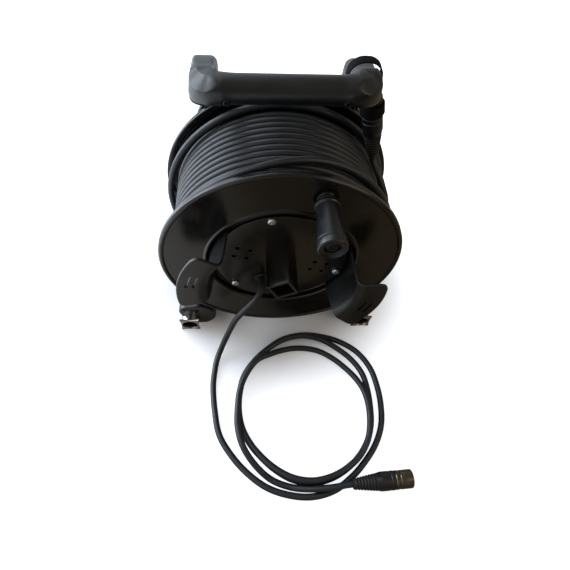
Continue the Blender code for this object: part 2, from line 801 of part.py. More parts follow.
def winding():
    """The cable on the drum. Its inner layers are one plain filling, and its outer layer is one tube."""
    front, back = RING_BACK + 0.6, DRUM_WIDTH - RING_BACK - 0.6
    inner = CORE_RADIUS + GAP
    filling = [(FILLING_RADIUS, back), (FILLING_RADIUS, front), (inner, front), (inner, back)]
    turned("winding_filling", filling, DRUM, JACKET, 36)
    steps = round(WINDING_TURNS * LOOP_POINTS)
    points = []
    for step in range(steps):
        left = (steps - step) / LOOP_POINTS
        x, z = polar(WINDING_RADIUS, LAST_TURN_ANGLE + 360 * left)
        points.append(Vector((x, WINDING_FRONT + CABLE_PITCH * left, z)))
    for step in range(round((LAST_TURN_ANGLE - LAST_TURN_END) * LOOP_POINTS / 360) + 1):
        angle = LAST_TURN_ANGLE - 360 * step / LOOP_POINTS
        x, z = polar(keyed(LAST_TURN_RADIUS, -angle), angle)
        points.append(Vector((x, keyed(LAST_TURN_DEPTH, -angle), z)))
    print(f"winding: least gap to itself {least_gap(points, CABLE_RADIUS):.2f} mm")
    tube("cable_winding", points, CABLE_RADIUS, DRUM, JACKET, 1)


def bush(name, profile):
    turned(name, profile, DRUM, BRONZE, 16)


def bushes():
    """Flanged bronze bushes in both ends of the hub."""
    bore, outer, flange = AXLE_RADIUS + 0.2, HUB_BORE - GAP, 13.0
    front = [
        (flange, HUB_FRONT - GAP),
        (flange, HUB_FRONT - 2.3),
        (bore, HUB_FRONT - 2.3),
        (bore, HUB_FRONT + 16),
        (outer, HUB_FRONT + 16),
        (outer, HUB_FRONT - GAP),
    ]
    bush("bush_front", front)
    shift = HUB_FRONT + HUB_BACK
    bush("bush_rear", [(radius, shift - depth) for radius, depth in reversed(front)])


def axle_set():
    """The fixed axle, bolted through the cross plate, and what keeps the drum on it."""
    shaft = [
        (0, AXLE_BACK),
        (SPIGOT, AXLE_BACK),
        (SPIGOT, COLLAR_BACK),
        (HUB_RADIUS, COLLAR_BACK),
        (HUB_RADIUS, COLLAR_FRONT),
        (AXLE_RADIUS, COLLAR_FRONT),
        (AXLE_RADIUS, AXLE_FRONT),
        (4.3, AXLE_FRONT),
        (4.3, AXLE_FRONT + 24),
        (0, AXLE_FRONT + 24),
    ]
    turned("axle", shaft, AXLE, ZINC, 20, closed=False)
    bolt = across("axle_bolt", 7.2, (0, 0), 6.6, AXLE_FRONT - 2.4, AXLE, ZINC, sides=6)
    join(bolt, across("axle_bolt_shank", 4, (0, 0), 9, AXLE_FRONT + 22, AXLE, sides=20))
    ring("retaining_washer", 12.4, 4.3, AXLE_FRONT - 2.1, AXLE_FRONT - 0.3)
    ring("thrust_washer", 14.0, AXLE_RADIUS + 0.3, HUB_BACK + 2.6, COLLAR_FRONT - GAP)
    behind = PLATE_FRONT + PLATE_THICKNESS + GAP
    ring("axle_washer", 12.0, SPIGOT + GAP, behind, behind + 2)
    nut = across("axle_nut", 10.8, (0, 0), behind + 2.3, behind + 10.3, AXLE, ZINC, sides=6)
    cut(nut, across("axle_nut_bore", SPIGOT + GAP, (0, 0), 120, 150, AXLE))


def ring(name, outer, inner, front, back):
    profile = [(outer, back), (outer, front), (inner, front), (inner, back)]
    turned(name, profile, AXLE, ZINC, 20)


def upright_x(height):
    """How far from the middle the upright's own line is at a height."""
    share = (height - RAIL_Z) / (UPRIGHT_TOP_Z - RAIL_Z)
    return RAIL_X + (UPRIGHT_TOP_X - RAIL_X) * share


def frame_tube(name, side):
    corners = [
        (side * RAIL_X, RAIL_FRONT, RAIL_Z),
        (side * RAIL_X, UPRIGHT_DEPTH, RAIL_Z),
        (side * UPRIGHT_TOP_X, UPRIGHT_DEPTH, UPRIGHT_TOP_Z),
    ]
    line = rounded_path(corners, TUBE_BEND)
    made = tube(f"frame_tube_{name}", line, TUBE_RADIUS, FRAME, CHROME, 4, caps=False)
    wall = made.modifiers.new("wall", "SOLIDIFY")
    wall.thickness = TUBE_WALL * MM
    wall.offset = -1


def rail_end_outline(centre):
    """A square whose sides are drawn in, so that its corners flare."""
    half, drawn_in, steps = RAIL_END_SIDE / 2, 1.2, 4
    found = []
    for turn in range(4):
        for step in range(steps):
            share = 2 * step / steps - 1
            inward = half - drawn_in * (1 - share * share)
            found += turned_by([(half * share, -inward)], 90 * turn)
    return [(centre[0] + x, centre[1] + z) for x, z in found]


def rail_end(name, side):
    """The moulded end plugged into the rail's open front, with a round hole through it."""
    centre = (side * RAIL_X, RAIL_Z)
    hole = circle(centre, RAIL_END_HOLE, 16)
    face = [rail_end_outline(centre), hole]
    back = RAIL_FRONT - GAP
    made = as_mesh(flat_piece(f"rail_end_{name}", face, RAIL_END_FRONT, back, FRAME, SATIN_BLACK))
    plug = [circle(centre, TUBE_RADIUS - TUBE_WALL - GAP, 16), hole]
    join(made, as_mesh(flat_piece(f"rail_plug_{name}", plug, back - 1.2, back + 10, FRAME, None)))


def foot_outline(side):
    """A big round lobe that stands on the floor, joined by straight lines to a smaller one outside it."""
    low, high = Vector(FOOT_LOBE), Vector(FOOT_SHOULDER)
    radius = low.y
    between = high - low
    slope = math.degrees(math.atan2(between.y, between.x))
    spread = math.degrees(math.acos((radius - FOOT_SHOULDER_RADIUS) / between.length))
    outline = arc(low, radius, slope + spread, slope - spread + 360, 12)
    outline += arc(high, FOOT_SHOULDER_RADIUS, slope - spread, slope + spread, 6)
    return [(side * x, max(FOOT_FLAT, z)) for x, z in outline]


def foot(name, side, front, back):
    """A moulded foot pressed onto the rail. Its lobe stands on the floor inside the rail."""
    outline = [(x, z - FOOT_FLAT) for x, z in foot_outline(side)]
    made = as_mesh(flat_piece(f"foot_{name}", [outline], front, back, FRAME, RUBBER))
    centre = (side * RAIL_X, RAIL_Z)
    cut(made, across(f"foot_bore_{name}", TUBE_RADIUS + GAP, centre, front - 5, back + 5, FRAME, sides=24))


def bearing_plate():
    """A steel plate across the two uprights, wide round the axle and narrower at its ends."""
    middle, end_half = AXIS_HEIGHT, 17.0
    clear = TUBE_RADIUS / math.cos(math.atan2(RAIL_X - UPRIGHT_TOP_X, UPRIGHT_TOP_Z - RAIL_Z)) + GAP
    low = upright_x(middle - end_half) - clear
    high = upright_x(middle + end_half) - clear
    right = [(low, middle - end_half), (high, middle + end_half)]
    top = arc((0, middle), 31.0, 62, 118, 8)
    bottom = arc((0, middle), 31.0, 242, 298, 8)
    outline = [*right, *top, (-high, middle + end_half), (-low, middle - end_half), *bottom]
    back = PLATE_FRONT + PLATE_THICKNESS
    flat_piece(
        "bearing_plate",
        [outline, circle((0, middle), SPIGOT + GAP)],
        PLATE_FRONT,
        back,
        FRAME,
        BLACK_COAT,
    )


def handle_stations():
    """One side of the handle from its socket to the grip. Each one is the section's centre, direction, width,
    height, squareness and how far its sides spread downwards."""
    lean = upright_x(230) - upright_x(250)
    up = (-lean, 0, 20)
    stations = [
        ((upright_x(230), UPRIGHT_DEPTH, 230.0), up, SOCKET_SIDE - 1, SOCKET_SIDE - 1, 2.4, 0.0),
        ((upright_x(247), UPRIGHT_DEPTH, 247.0), up, SOCKET_SIDE, SOCKET_SIDE, 2.8, 0.0),
        ((69.0, 121.5, 260.0), (-0.05, -0.45, 0.9), 25.0, 26.5, 3.6, 0.08),
        ((67.2, 104.0, 272.3), (-0.03, -0.83, 0.55), 22.0, 22.0, 5.0, 0.2),
        ((66.0, 82.0, 282.4), (0, -0.96, 0.27), 20.5, 17.0, 5.5, 0.25),
    ]
    corner = ((0, 21, 4.6, 0.2), (30, 24, 3.4, 0.08), (60, 25, 2.8, 0), (90, 24, 2.4, 0))
    for turn, width, square, spread in corner:
        angle = math.radians(turn)
        x = ARM_X - CORNER_RADIUS + CORNER_RADIUS * math.cos(angle)
        y = GRIP_DEPTH + CORNER_RADIUS - CORNER_RADIUS * math.sin(angle)
        drop = 2.4 * (1 - math.sin(angle))
        direction = (-math.sin(angle), -math.cos(angle), 0.15 * math.cos(angle))
        stations.append(((x, y, GRIP_HEIGHT - drop), direction, width, 23.2, square, spread))
    stations.append(((38.0, GRIP_DEPTH, GRIP_HEIGHT), (-1, 0, 0), 2 * GRIP_RADIUS, 2 * GRIP_RADIUS, 2.0, 0.0))
    return stations


def section(centre, direction, width, height, square, spread):
    """A ring of points round the handle's line: an oval at squareness 2, near a rectangle above 4."""
    along = Vector(direction).normalized()
    side = along.cross(Vector((0, 0, 1))).normalized()
    if along.z >= 0.75:
        side = Vector((0, 1, 0)).cross(along).normalized() * -1
    top = side.cross(along).normalized()
    found = []
    for index in range(SECTION_POINTS):
        angle = 2 * math.pi * (index + 0.5) / SECTION_POINTS
        cosine, sine = math.cos(angle), math.sin(angle)
        rise = math.copysign(abs(sine) ** (2 / square), sine)
        out = math.copysign(abs(cosine) ** (2 / square), cosine) * (1 - spread * rise)
        found.append(Vector(centre) + side * out * width / 2 + top * rise * height / 2)
    return found


def handle():
    """The handle, lofted through its stations on one side and mirrored to the other."""
    shape = bmesh.new()
    rings = []
    for station in handle_stations():
        rings.append([shape.verts.new(point) for point in section(*station)])
    middle = [shape.verts.new((0, vert.co.y, vert.co.z)) for vert in rings[-1]]
    rings.append(middle)
    for near, far in zip(rings, rings[1:]):
        for index in range(SECTION_POINTS):
            after = (index + 1) % SECTION_POINTS
            shape.faces.new((near[index], near[after], far[after], far[index]))
    shape.faces.new(rings[0])
    bmesh.ops.recalc_face_normals(shape, faces=shape.faces)
    made = placed("carry_handle", mesh_of("carry_handle", shape), FRAME, SATIN_BLACK)
    twin = made.modifiers.new("other side", "MIRROR")
    twin.merge_threshold = 0.00005
    for side in (-1, 1):
        low, top = 225.0, UPRIGHT_TOP_Z + GAP
        start = (side * upright_x(low), UPRIGHT_DEPTH, low)
        end = (side * upright_x(top), UPRIGHT_DEPTH, top)
        cut(made, cylinder(f"handle_socket_{side}", TUBE_RADIUS + GAP, start, end, FRAME, sides=32))
        x = side * GRIP_SCREW_X
        front = (x, GRIP_DEPTH - 14, GRIP_SCREW_HEIGHT)
        seat = (x, GRIP_DEPTH - 8.6, GRIP_SCREW_HEIGHT)
        cut(made, cylinder(f"grip_screw_recess_{side}", 4.2, front, seat, FRAME, sides=20))


def handle_screws():
    """The two screws in the grip's front face."""
    for name, side in (("left", -1), ("right", 1)):
        profile = [
            (0, GRIP_DEPTH - 8.9),
            (3.6, GRIP_DEPTH - 8.9),
            (3.6, GRIP_DEPTH - 10.4),
            (2.6, GRIP_DEPTH - 11.1),
            (0, GRIP_DEPTH - 11.1),
        ]
        place = (side * GRIP_SCREW_X, GRIP_SCREW_HEIGHT)
        turned(f"grip_screw_{name}", profile, FRAME, ZINC, 12, place, closed=False)


def along_line(name, profile, start, direction, parent, finish, steps=12, closed=False):
    """A shape turned about a line: profile of (radius, distance) from start, far end first."""
    made = turned(name, profile, parent, finish, steps, closed=closed)
    made.rotation_euler = Vector(direction).to_track_quat("Z", "Y").to_euler()
    made.location = Vector(start) * MM
    return made


def ribbed(start, length, root, tip, ribs):
    """A boot's outer side, from its thick end to its thin one, with grooves cut round it."""
    found = []
    for rib in range(ribs):
        for share, groove in ((0.35, 0.0), (0.75, 1.3)):
            at = (rib + share) / ribs
            found.append((root + (tip - root) * at - groove, start + length * (1 - at)))
    return found


def connector(name, start, direction, parent):
    """A round cable connector: ribbed boot at the cable, body, and metal shell. start is the boot's thin end."""
    bore, cable_end = CABLE_RADIUS + GAP, 8.0
    ribs = ribbed(1.0, BOOT_LENGTH - 1.5, BOOT_RADIUS, BOOT_TIP, 5)
    boot = [(0, BOOT_LENGTH), (BOOT_RADIUS, BOOT_LENGTH), *ribs, (BOOT_TIP - 0.2, 0.0), (bore, 0.0)]
    boot += [(bore, cable_end), (0, cable_end)]
    along_line(f"{name}_boot", boot, start, direction, parent, RUBBER)
    body = [
        (0, BODY_END),
        (CONNECTOR_RADIUS - 1.6, BODY_END),
        (CONNECTOR_RADIUS, BODY_END - 0.6),
        (CONNECTOR_RADIUS, BOOT_LENGTH + 3.0),
        (BOOT_RADIUS + 0.4, BOOT_LENGTH + 0.6),
        (BOOT_RADIUS, BOOT_LENGTH + GAP),
        (0, BOOT_LENGTH + GAP),
    ]
    along_line(f"{name}_body", body, start, direction, parent, SATIN_BLACK)
    inner = CONNECTOR_RADIUS - 1.9
    shell = [
        (0, CONNECTOR_LENGTH - CUP_DEPTH),
        (inner, CONNECTOR_LENGTH - CUP_DEPTH),
        (inner, CONNECTOR_LENGTH),
        (CONNECTOR_RADIUS - 0.7, CONNECTOR_LENGTH),
        (CONNECTOR_RADIUS - 0.2, CONNECTOR_LENGTH - 0.5),
        (CONNECTOR_RADIUS - 0.2, BODY_END + 4.0),
        (CONNECTOR_RADIUS - 0.9, BODY_END + 3.4),
        (CONNECTOR_RADIUS - 0.9, BODY_END + GAP),
        (0, BODY_END + GAP),
    ]
    along_line(f"{name}_shell", shell, start, direction, parent, NICKEL)


def tail_points():
    """The cable's outer end: a loose turn over the winding, then up to the hanging connector."""
    points = []
    for step in range(round((TAIL_ANGLES[1] - TAIL_ANGLES[0]) / 15) + 1):
        angle = TAIL_ANGLES[0] + 15 * step
        x, z = polar(keyed(TAIL_RADIUS, angle), angle)
        points.append(Vector((x, keyed(TAIL_DEPTH, angle), AXIS_HEIGHT + z)))
    rise = [Vector(place) for place in TAIL_RISE]
    route = smooth_route([*points[-2:], *rise, TAIL_BOTTOM + TAIL_DOWN * 7], 9)
    return [*points[:-2], *route, TAIL_BOTTOM - TAIL_DOWN * 7.7]


def cable_tail():
    points = tail_points()
    print(f"tail: least gap to itself {least_gap(points, CABLE_RADIUS):.2f} mm")
    tube("cable_tail", points, CABLE_RADIUS, FRAME, JACKET, 1)
    connector("tail_connector", TAIL_BOTTOM, -TAIL_DOWN, FRAME)


def strap_outline(grow):
    """The strap's loop: a round arch over the handle's arm, closed straight below it."""
    left, right = STRAP_LEFT - grow, STRAP_RIGHT + grow
    low, high = STRAP_LOW - grow, STRAP_TOP + grow
    corner, small = STRAP_CORNER + grow, 1.5 + grow
    outline = arc((right - corner, high - corner), corner, 0, 90, 5)
    outline += arc((left + corner, high - corner), corner, 90, 180, 5)
    outline += arc((left + small, low + small), small, 180, 270, 2)
    outline += arc((right - small, low + small), small, 270, 360, 2)
    return outline


def tail_strap():
    """A strap over the handle's right arm, and the ring below it that holds the hanging connector."""
    loops = [strap_outline(STRAP_THICKNESS), strap_outline(0)]
    made = as_mesh(flat_piece("tail_strap", loops, STRAP_FRONT, STRAP_BACK, FRAME, STRAP))
    along = Vector((TAIL_DOWN.x, TAIL_DOWN.z)).normalized()
    inward = Vector((along.y, -along.x))
    neck = []
    for run, out in ((-5.6, 0.4), (14, 0.4), (14, 1.8), (-5.6, 1.8)):
        place = Vector((TAIL_TOP.x, TAIL_TOP.z)) + along * run + inward * (CONNECTOR_RADIUS + out)
        neck.append(place)
    join(made, as_mesh(flat_piece("strap_neck", [neck], STRAP_FRONT, STRAP_BACK, FRAME, None)))
    low, high = TAIL_TOP + TAIL_DOWN * 16.5, TAIL_TOP + TAIL_DOWN * 6.5
    join(made, cylinder("strap_ring", CONNECTOR_RADIUS + 1.7, low, high, FRAME))
    low, high = low + TAIL_DOWN * 5, high - TAIL_DOWN * 5
    cut(made, cylinder("strap_bore", CONNECTOR_RADIUS + 0.3, low, high, FRAME))


def coil_points():
    """The coil's turns on the floor, up to the hole in the connector's boot."""
    start, end = COIL_KEYS[0][0], COIL_KEYS[-1][0]
    radii = [(angle, radius) for angle, radius, _ in COIL_KEYS]
    heights = [(angle, height) for angle, _, height in COIL_KEYS]
    points = []
    for step in range((end - start) * LOOP_POINTS // 360 + 1):
        angle = start + 360 * step / LOOP_POINTS
        x, y = polar(keyed(radii, angle), angle)
        points.append(Vector((COIL_CENTRE[0] + x, COIL_CENTRE[1] + y, keyed(heights, angle))))
    return [*points, PLUG_START - PLUG_ALONG * 7, PLUG_START + PLUG_ALONG * 7.7]


def lead():
    """The lead that hangs from the drum's front and lies coiled on the floor, with its connector."""
    tube("lead_drop", smooth_route(LEAD_HANG, 9), CABLE_RADIUS, FRAME, JACKET)
    points = coil_points()
    print(f"coil: least gap to itself {least_gap(points, CABLE_RADIUS):.2f} mm")
    tube("lead_coil", points, CABLE_RADIUS, FRAME, JACKET, 1)
    connector("lead_plug", PLUG_START, PLUG_ALONG, FRAME)


def build():
    front_flange()
    rear_flange()
    drum_core()
    hub_panel()
    flange_screws()
    for side, middle in HOOK_ANGLES.items():
        hook(side, middle)
    crank()
    exit_grommet()
    inner_run()
    winding()
    bushes()
    axle_set()
    for name, side in (("left", -1), ("right", 1)):
        frame_tube(name, side)
        rail_end(name, side)
        for place, (front, back) in FOOT_DEPTHS.items():
            foot(f"{place}_{name}", side, front, back)
    bearing_plate()
    handle()
    handle_screws()
    cable_tail()
    tail_strap()
    lead()


build()
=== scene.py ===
"""The looks of a network cable reel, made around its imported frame.

Places are given in millimetres from the front flange's face (y), the drum's axis (x) and the floor (z), and
turned to the frame's metres where a piece is made.
"""

import math

import bmesh
import bpy
from mathutils import Matrix, Vector


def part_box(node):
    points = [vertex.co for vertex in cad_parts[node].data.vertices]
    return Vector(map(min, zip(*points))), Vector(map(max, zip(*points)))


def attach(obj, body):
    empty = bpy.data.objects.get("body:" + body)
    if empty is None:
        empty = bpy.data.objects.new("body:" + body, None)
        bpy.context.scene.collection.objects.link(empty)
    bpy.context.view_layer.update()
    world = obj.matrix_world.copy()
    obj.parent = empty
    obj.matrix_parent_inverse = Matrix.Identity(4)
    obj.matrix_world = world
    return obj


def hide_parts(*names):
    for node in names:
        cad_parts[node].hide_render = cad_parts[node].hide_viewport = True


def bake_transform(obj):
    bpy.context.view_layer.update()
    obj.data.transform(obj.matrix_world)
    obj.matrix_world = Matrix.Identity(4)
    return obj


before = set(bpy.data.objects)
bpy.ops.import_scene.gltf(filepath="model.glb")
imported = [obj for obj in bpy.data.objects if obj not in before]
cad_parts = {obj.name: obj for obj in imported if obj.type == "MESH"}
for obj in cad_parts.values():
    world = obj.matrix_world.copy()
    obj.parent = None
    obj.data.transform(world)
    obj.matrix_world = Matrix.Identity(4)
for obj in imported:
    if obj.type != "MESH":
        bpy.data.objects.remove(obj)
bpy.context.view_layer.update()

MM = 0.001
FLANGE_LOW, FLANGE_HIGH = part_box("front_flange")
FACE_Y = FLANGE_LOW.y / MM
AXIS_Z = (FLANGE_LOW.z + FLANGE_HIGH.z) / 2 / MM
FLANGE_R = (FLANGE_HIGH.x - FLANGE_LOW.x) / 2 / MM
DRUM_WIDTH = (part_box("rear_flange")[1].y - FLANGE_LOW.y) / MM
MERGE = 0.00001
# A corner that turns less than this, in degrees, isn't rounded.
LEAST_TURN = 12

# The photograph's camera, found from the flange's circles and the two rails.
CAMERA_PLACE = (-29.8, -259.8, 509.4)
CAMERA_YAW, CAMERA_PITCH, CAMERA_ROLL = 7.84, 57.85, 5.84
PHOTO_SIDE = 570
FOCAL_PIXELS = 459.18

# The side that the photograph's light comes from.
WINDOW_SIDE = (-0.8, 0.6, 0.0)

# The cable and its routes, as in the construction.
CABLE_R = 3.4
CABLE_PITCH = 7.25
LOOP_STEP = 15
IN_BOOT = 7.7
BEFORE_BOOT = 7.0
# The lead is drawn this much thinner and higher, so that it keeps clear of the floor.
CLEAR = 0.05
WINDING_R = 103.4
WINDING_FRONT = 15.3
WINDING_TURNS = 11.4
LAST_TURN_ANGLE = 255
LAST_TURN_END = -90
LAST_TURN_RADIUS = ((-255, 103.4), (-165, 110.8))
LAST_TURN_DEPTH = ((-255, 15.3), (-210, 13.4), (-125, 14.5), (-60, 31.0), (90, 34.0))
TAIL_ANGLES = (-90, 375)
TAIL_RADIUS = ((90, 111.3), (180, 113.5), (270, 111.3))
TAIL_DEPTH = ((-90, 97.5), (90, 96.0), (180, 86.0), (270, 68.0), (378, 55.0))
TAIL_RISE = ((101.0, 58.0, 180.0), (96.0, 66.0, 190.0))
TAIL_TOP = Vector((75.5, 82.0, 266.0))
TAIL_BOTTOM = Vector((88.5, 77.0, 206.0))
TAIL_UP = (TAIL_TOP - TAIL_BOTTOM).normalized()
EXIT_X, EXIT_Z = -18.8, -30.3
LEAD_START = 1.1
FLOOR_LIE = 3.5
OVER_ONE = 10.9
LEAD_HANG = (
    (EXIT_X, LEAD_START, AXIS_Z + EXIT_Z),
    (EXIT_X, -5.5, AXIS_Z + EXIT_Z),
    (-21.0, -14.0, 101.0),
    (-26.5, -20.0, 95.0),
    (-34.0, -23.0, 86.0),
    (-42.0, -24.0, 73.0),
    (-48.5, -24.0, 58.0),
    (-54.0, -25.0, 41.0),
    (-60.0, -28.0, 24.0),
    (-66.0, -35.0, 11.0),
    (-71.0, -46.0, 4.6),
    (-73.5, -60.0, FLOOR_LIE),
)
COIL_CENTRE = (29.0, -108.0)
COIL_KEYS = (
    (165, 107.4, FLOOR_LIE),
    (180, 101.0, FLOOR_LIE),
    (225, 92.5, FLOOR_LIE),
    (270, 90.0, FLOOR_LIE),
    (315, 82.5, FLOOR_LIE),
    (360, 85.0, FLOOR_LIE),
    (405, 94.0, FLOOR_LIE),
    (450, 91.0, FLOOR_LIE),
    (495, 81.7, FLOOR_LIE),
    (540, 75.0, FLOOR_LIE),
    (585, 71.4, FLOOR_LIE),
    (630, 77.0, FLOOR_LIE),
    (675, 74.5, FLOOR_LIE),
    (720, 72.6, FLOOR_LIE),
    (765, 81.8, FLOOR_LIE),
    (810, 86.5, OVER_ONE),
    (855, 79.5, OVER_ONE),
    (900, 74.5, OVER_ONE),
    (945, 72.0, OVER_ONE),
    (990, 76.0, OVER_ONE),
    (1035, 74.7, OVER_ONE),
    (1080, 69.1, OVER_ONE),
    (1125, 68.3, FLOOR_LIE),
    (1170, 73.5, FLOOR_LIE),
    (1191, 75.0, FLOOR_LIE),
    (1204, 73.0, 15.0),
    (1215, 76.0, 18.0),
    (1260, 75.5, 18.3),
    (1290, 81.0, 16.0),
    (1320, 83.2, FLOOR_LIE),
    (1335, 83.0, FLOOR_LIE),
    (1350, 83.4, 8.0),
    (1365, 86.0, OVER_ONE),
)
PLUG_START = Vector((70.4, -189.0, OVER_ONE))
PLUG_ALONG = Vector((1.0, 0.05, -0.0225)).normalized()

# The frame's tubes, and the handle on their upper ends.
TUBE_R = 10.0
TUBE_WALL = 1.5
TUBE_GAP = 0.3
TUBE_BEND = 36.0
RAIL_X, RAIL_Z, RAIL_FRONT = 104.0, 12.0, -2.0
UPRIGHT_DEPTH = 126.0
UPRIGHT_TOP_X, UPRIGHT_TOP_Z = 70.2, 252.0
FOOT_LOBE, FOOT_LOBE_R = (93.0, 20.0), 20.0
FOOT_SHOULDER, FOOT_SHOULDER_R = (105.1, 27.5), 10.5
FOOT_FLAT = 1.0
GRIP_DEPTH, GRIP_HEIGHT, GRIP_R = 55.0, 289.0, 11.4
ARM_X = 66.0
CORNER_R = 14.0
SOCKET_SIDE = 27.0
RING_POINTS = 64
GRIP_SCREW_X, GRIP_SCREW_Z = 47.0, 284.0
SIDES = (("left", -1), ("right", 1))


def at(x, y, z):
    """A place in the frame, in metres."""
    return Vector((x, FACE_Y + y, z)) * MM


def on_axis(x, y, z):
    """A place in the frame whose x and z are counted from the drum's axis."""
    return at(x, y, AXIS_Z + z)


def polar(radius, degrees):
    """The two flat coordinates of a place at a radius and an angle."""
    angle = math.radians(degrees)
    return radius * math.cos(angle), radius * math.sin(angle)


def linear(code):
    """An sRGB hex colour as the linear values that Blender works in."""
    parts = [int(code[start : start + 2], 16) / 255 for start in (1, 3, 5)]
    return (*[p / 12.92 if p <= 0.04045 else ((p + 0.055) / 1.055) ** 2.4 for p in parts], 1.0)


def add(tree, kind, sockets, **settings):
    """Adds a node with its settings. A socket's value is a number, a colour or the output that feeds it."""
    node = tree.nodes.new(kind)
    for name, value in settings.items():
        setattr(node, name, value)
    for name, value in sockets.items():
        if isinstance(value, bpy.types.NodeSocket):
            tree.links.new(value, node.inputs[name])
        else:
            node.inputs[name].default_value = value
    return node


def surface(name, **sockets):
    """A new material, its node tree, its shader and the place that its patterns are read from."""
    made = bpy.data.materials.new(name)
    made.use_nodes = True
    tree = made.node_tree
    shader = tree.nodes["Principled BSDF"]
    for socket, value in sockets.items():
        shader.inputs[socket.replace("_", " ")].default_value = value
    place = add(tree, "ShaderNodeTexCoord", {}).outputs["Object"]
    return made, tree, shader, place


def mottled(tree, place, size, low, high, detail=3.0):
    """A value that wanders between low and high over patches of a size in millimetres."""
    noise = add(tree, "ShaderNodeTexNoise", {"Vector": place, "Scale": 1 / (size * MM), "Detail": detail})
    spread = {"Value": noise.outputs["Fac"], "From Min": 0.3, "From Max": 0.7, "To Min": low, "To Max": high}
    return add(tree, "ShaderNodeMapRange", spread).outputs["Result"]


def colour_mix(tree, amount, first, second):
    """A colour between two others, by an amount from 0 to 1."""
    sockets = {"Factor": amount, 6: first, 7: second}
    return add(tree, "ShaderNodeMix", sockets, data_type="RGBA").outputs[2]


def tinted(tree, amount, dark, light):
    """A colour between two hex colours, by an amount from 0 to 1."""
    return colour_mix(tree, amount, linear(dark), linear(light))


def ramp(tree, value, low, high, start=0.0, end=1.0):
    """A smooth step from start to end while value goes from low to high."""
    sockets = {"Value": value, "From Min": low, "From Max": high, "To Min": start, "To Max": end}
    return add(tree, "ShaderNodeMapRange", sockets, interpolation_type="SMOOTHSTEP").outputs["Result"]


def towards(tree, vector, direction):
    """How far a vector reaches in a direction."""
    node = add(tree, "ShaderNodeVectorMath", {0: vector, 1: direction}, operation="DOT_PRODUCT")
    return node.outputs["Value"]


def product(tree, first, second):
    """Two values multiplied."""
    return add(tree, "ShaderNodeMath", {0: first, 1: second}, operation="MULTIPLY").outputs[0]


def raised(tree, shader, height, depth, strength=1.0):
    """Relief on the shader from a height between 0 and 1, as deep as depth in millimetres."""
    sockets = {"Height": height, "Distance": depth * MM, "Strength": strength}
    tree.links.new(add(tree, "ShaderNodeBump", sockets).outputs["Normal"], shader.inputs["Normal"])


def coloured(look, size, dark, light, detail=3.0):
    """Colours a look in patches of a size in millimetres, between two hex colours."""
    _, tree, shader, place = look
    amount = mottled(tree, place, size, 0.0, 1.0, detail)
    tree.links.new(tinted(tree, amount, dark, light), shader.inputs["Base Color"])


def roughened(look, size, low, high, detail=3.0):
    """Lets a look's roughness wander between low and high over patches of a size in millimetres."""
    _, tree, shader, place = look
    tree.links.new(mottled(tree, place, size, low, high, detail), shader.inputs["Roughness"])


def grained(look, size, depth, strength=1.0, detail=2.0):
    """Gives a look a relief of bumps of a size and a depth, both in millimetres."""
    _, tree, shader, place = look
    raised(tree, shader, mottled(tree, place, size, 0.0, 1.0, detail), depth, strength)


def gloss_abs():
    """ABS moulded in a polished tool: a deep black that mirrors softly, with faint handling marks."""
    look = surface("moulded_gloss_abs", IOR=1.53)
    coloured(look, 60, "#0e0d0c", "#151310")
    roughened(look, 9, 0.17, 0.27, 6.0)
    grained(look, 14, 0.02, detail=1.0)
    return look[0]


def satin_nylon():
    """Glass-filled nylon from a spark-eroded tool: blue-black with an even satin grain."""
    look = surface("grained_satin_nylon", IOR=1.53)
    coloured(look, 35, "#0f1114", "#16191c")
    roughened(look, 12, 0.29, 0.4, 5.0)
    # The real grain is about 0.2 mm across. It is drawn at 0.9 mm so that it shows.
    grained(look, 0.9, 0.05, 0.6)
    return look[0]


def pvc_jacket():
    """Extruded soft PVC: a cool dark grey with a low shine and a fine drag along it."""
    look = surface("extruded_pvc_jacket", IOR=1.5)
    coloured(look, 18, "#1e2226", "#292d32", 4.0)
    roughened(look, 7, 0.32, 0.46, 5.0)
    grained(look, 1.3, 0.04, 0.5)
    return look[0]


def soft_rubber():
    """Moulded rubber: dull black with a pale bloom in patches."""
    look = surface("moulded_soft_rubber", IOR=1.52)
    coloured(look, 10, "#111213", "#1b1c1d", 5.0)
    roughened(look, 5, 0.5, 0.68, 4.0)
    grained(look, 0.8, 0.04, 0.5)
    return look[0]


def powder_coat():
    """Polyester powder baked on steel: black with a low orange peel."""
    look = surface("powder_coated_steel", IOR=1.5)
    coloured(look, 30, "#121213", "#19191b")
    roughened(look, 8, 0.28, 0.4, 4.0)
    # Orange peel is about 1.5 mm from crest to crest.
    grained(look, 1.5, 0.03, 0.7, 1.0)
    return look[0]


def chrome_plate():
    """Bright chrome on drawn steel tube: a clear mirror with faint polishing marks."""
    look = surface("chrome_plated_tube", Metallic=1.0)
    coloured(look, 25, "#d4d7da", "#e4e6e7")
    roughened(look, 6, 0.06, 0.14, 6.0)
    return look[0]


def plated_nylon_painted_bore_shade():
    """Black nylon whose outer rim, more than 8.6 mm from a rail's middle, wears a thin chrome coat. The black
    within is the nylon's own colour and also a painted shade that keeps the bore dark.
    """
    made, tree, shader, place = surface("nylon_plated_rim_painted_bore_shade", Roughness=0.25)
    apart = add(tree, "ShaderNodeVectorMath", {0: place}, operation="ABSOLUTE").outputs["Vector"]
    for operation, value in (("MULTIPLY", (1, 0, 1)), ("SUBTRACT", (RAIL_X * MM, 0, RAIL_Z * MM))):
        apart = add(tree, "ShaderNodeVectorMath", {0: apart, 1: value}, operation=operation).outputs["Vector"]
    away = add(tree, "ShaderNodeVectorMath", {0: apart}, operation="LENGTH").outputs["Value"]
    # Painted shade: within 8.4 mm of the rail's middle the end stays black, so the bore looks dark. Beyond
    # 8.8 mm it is chrome.
    coated = ramp(tree, away, 8.4 * MM, 8.8 * MM)
    tree.links.new(tinted(tree, coated, "#0c0c0d", "#a59c94"), shader.inputs["Base Color"])
    tree.links.new(product(tree, coated, 0.9), shader.inputs["Metallic"])
    return made


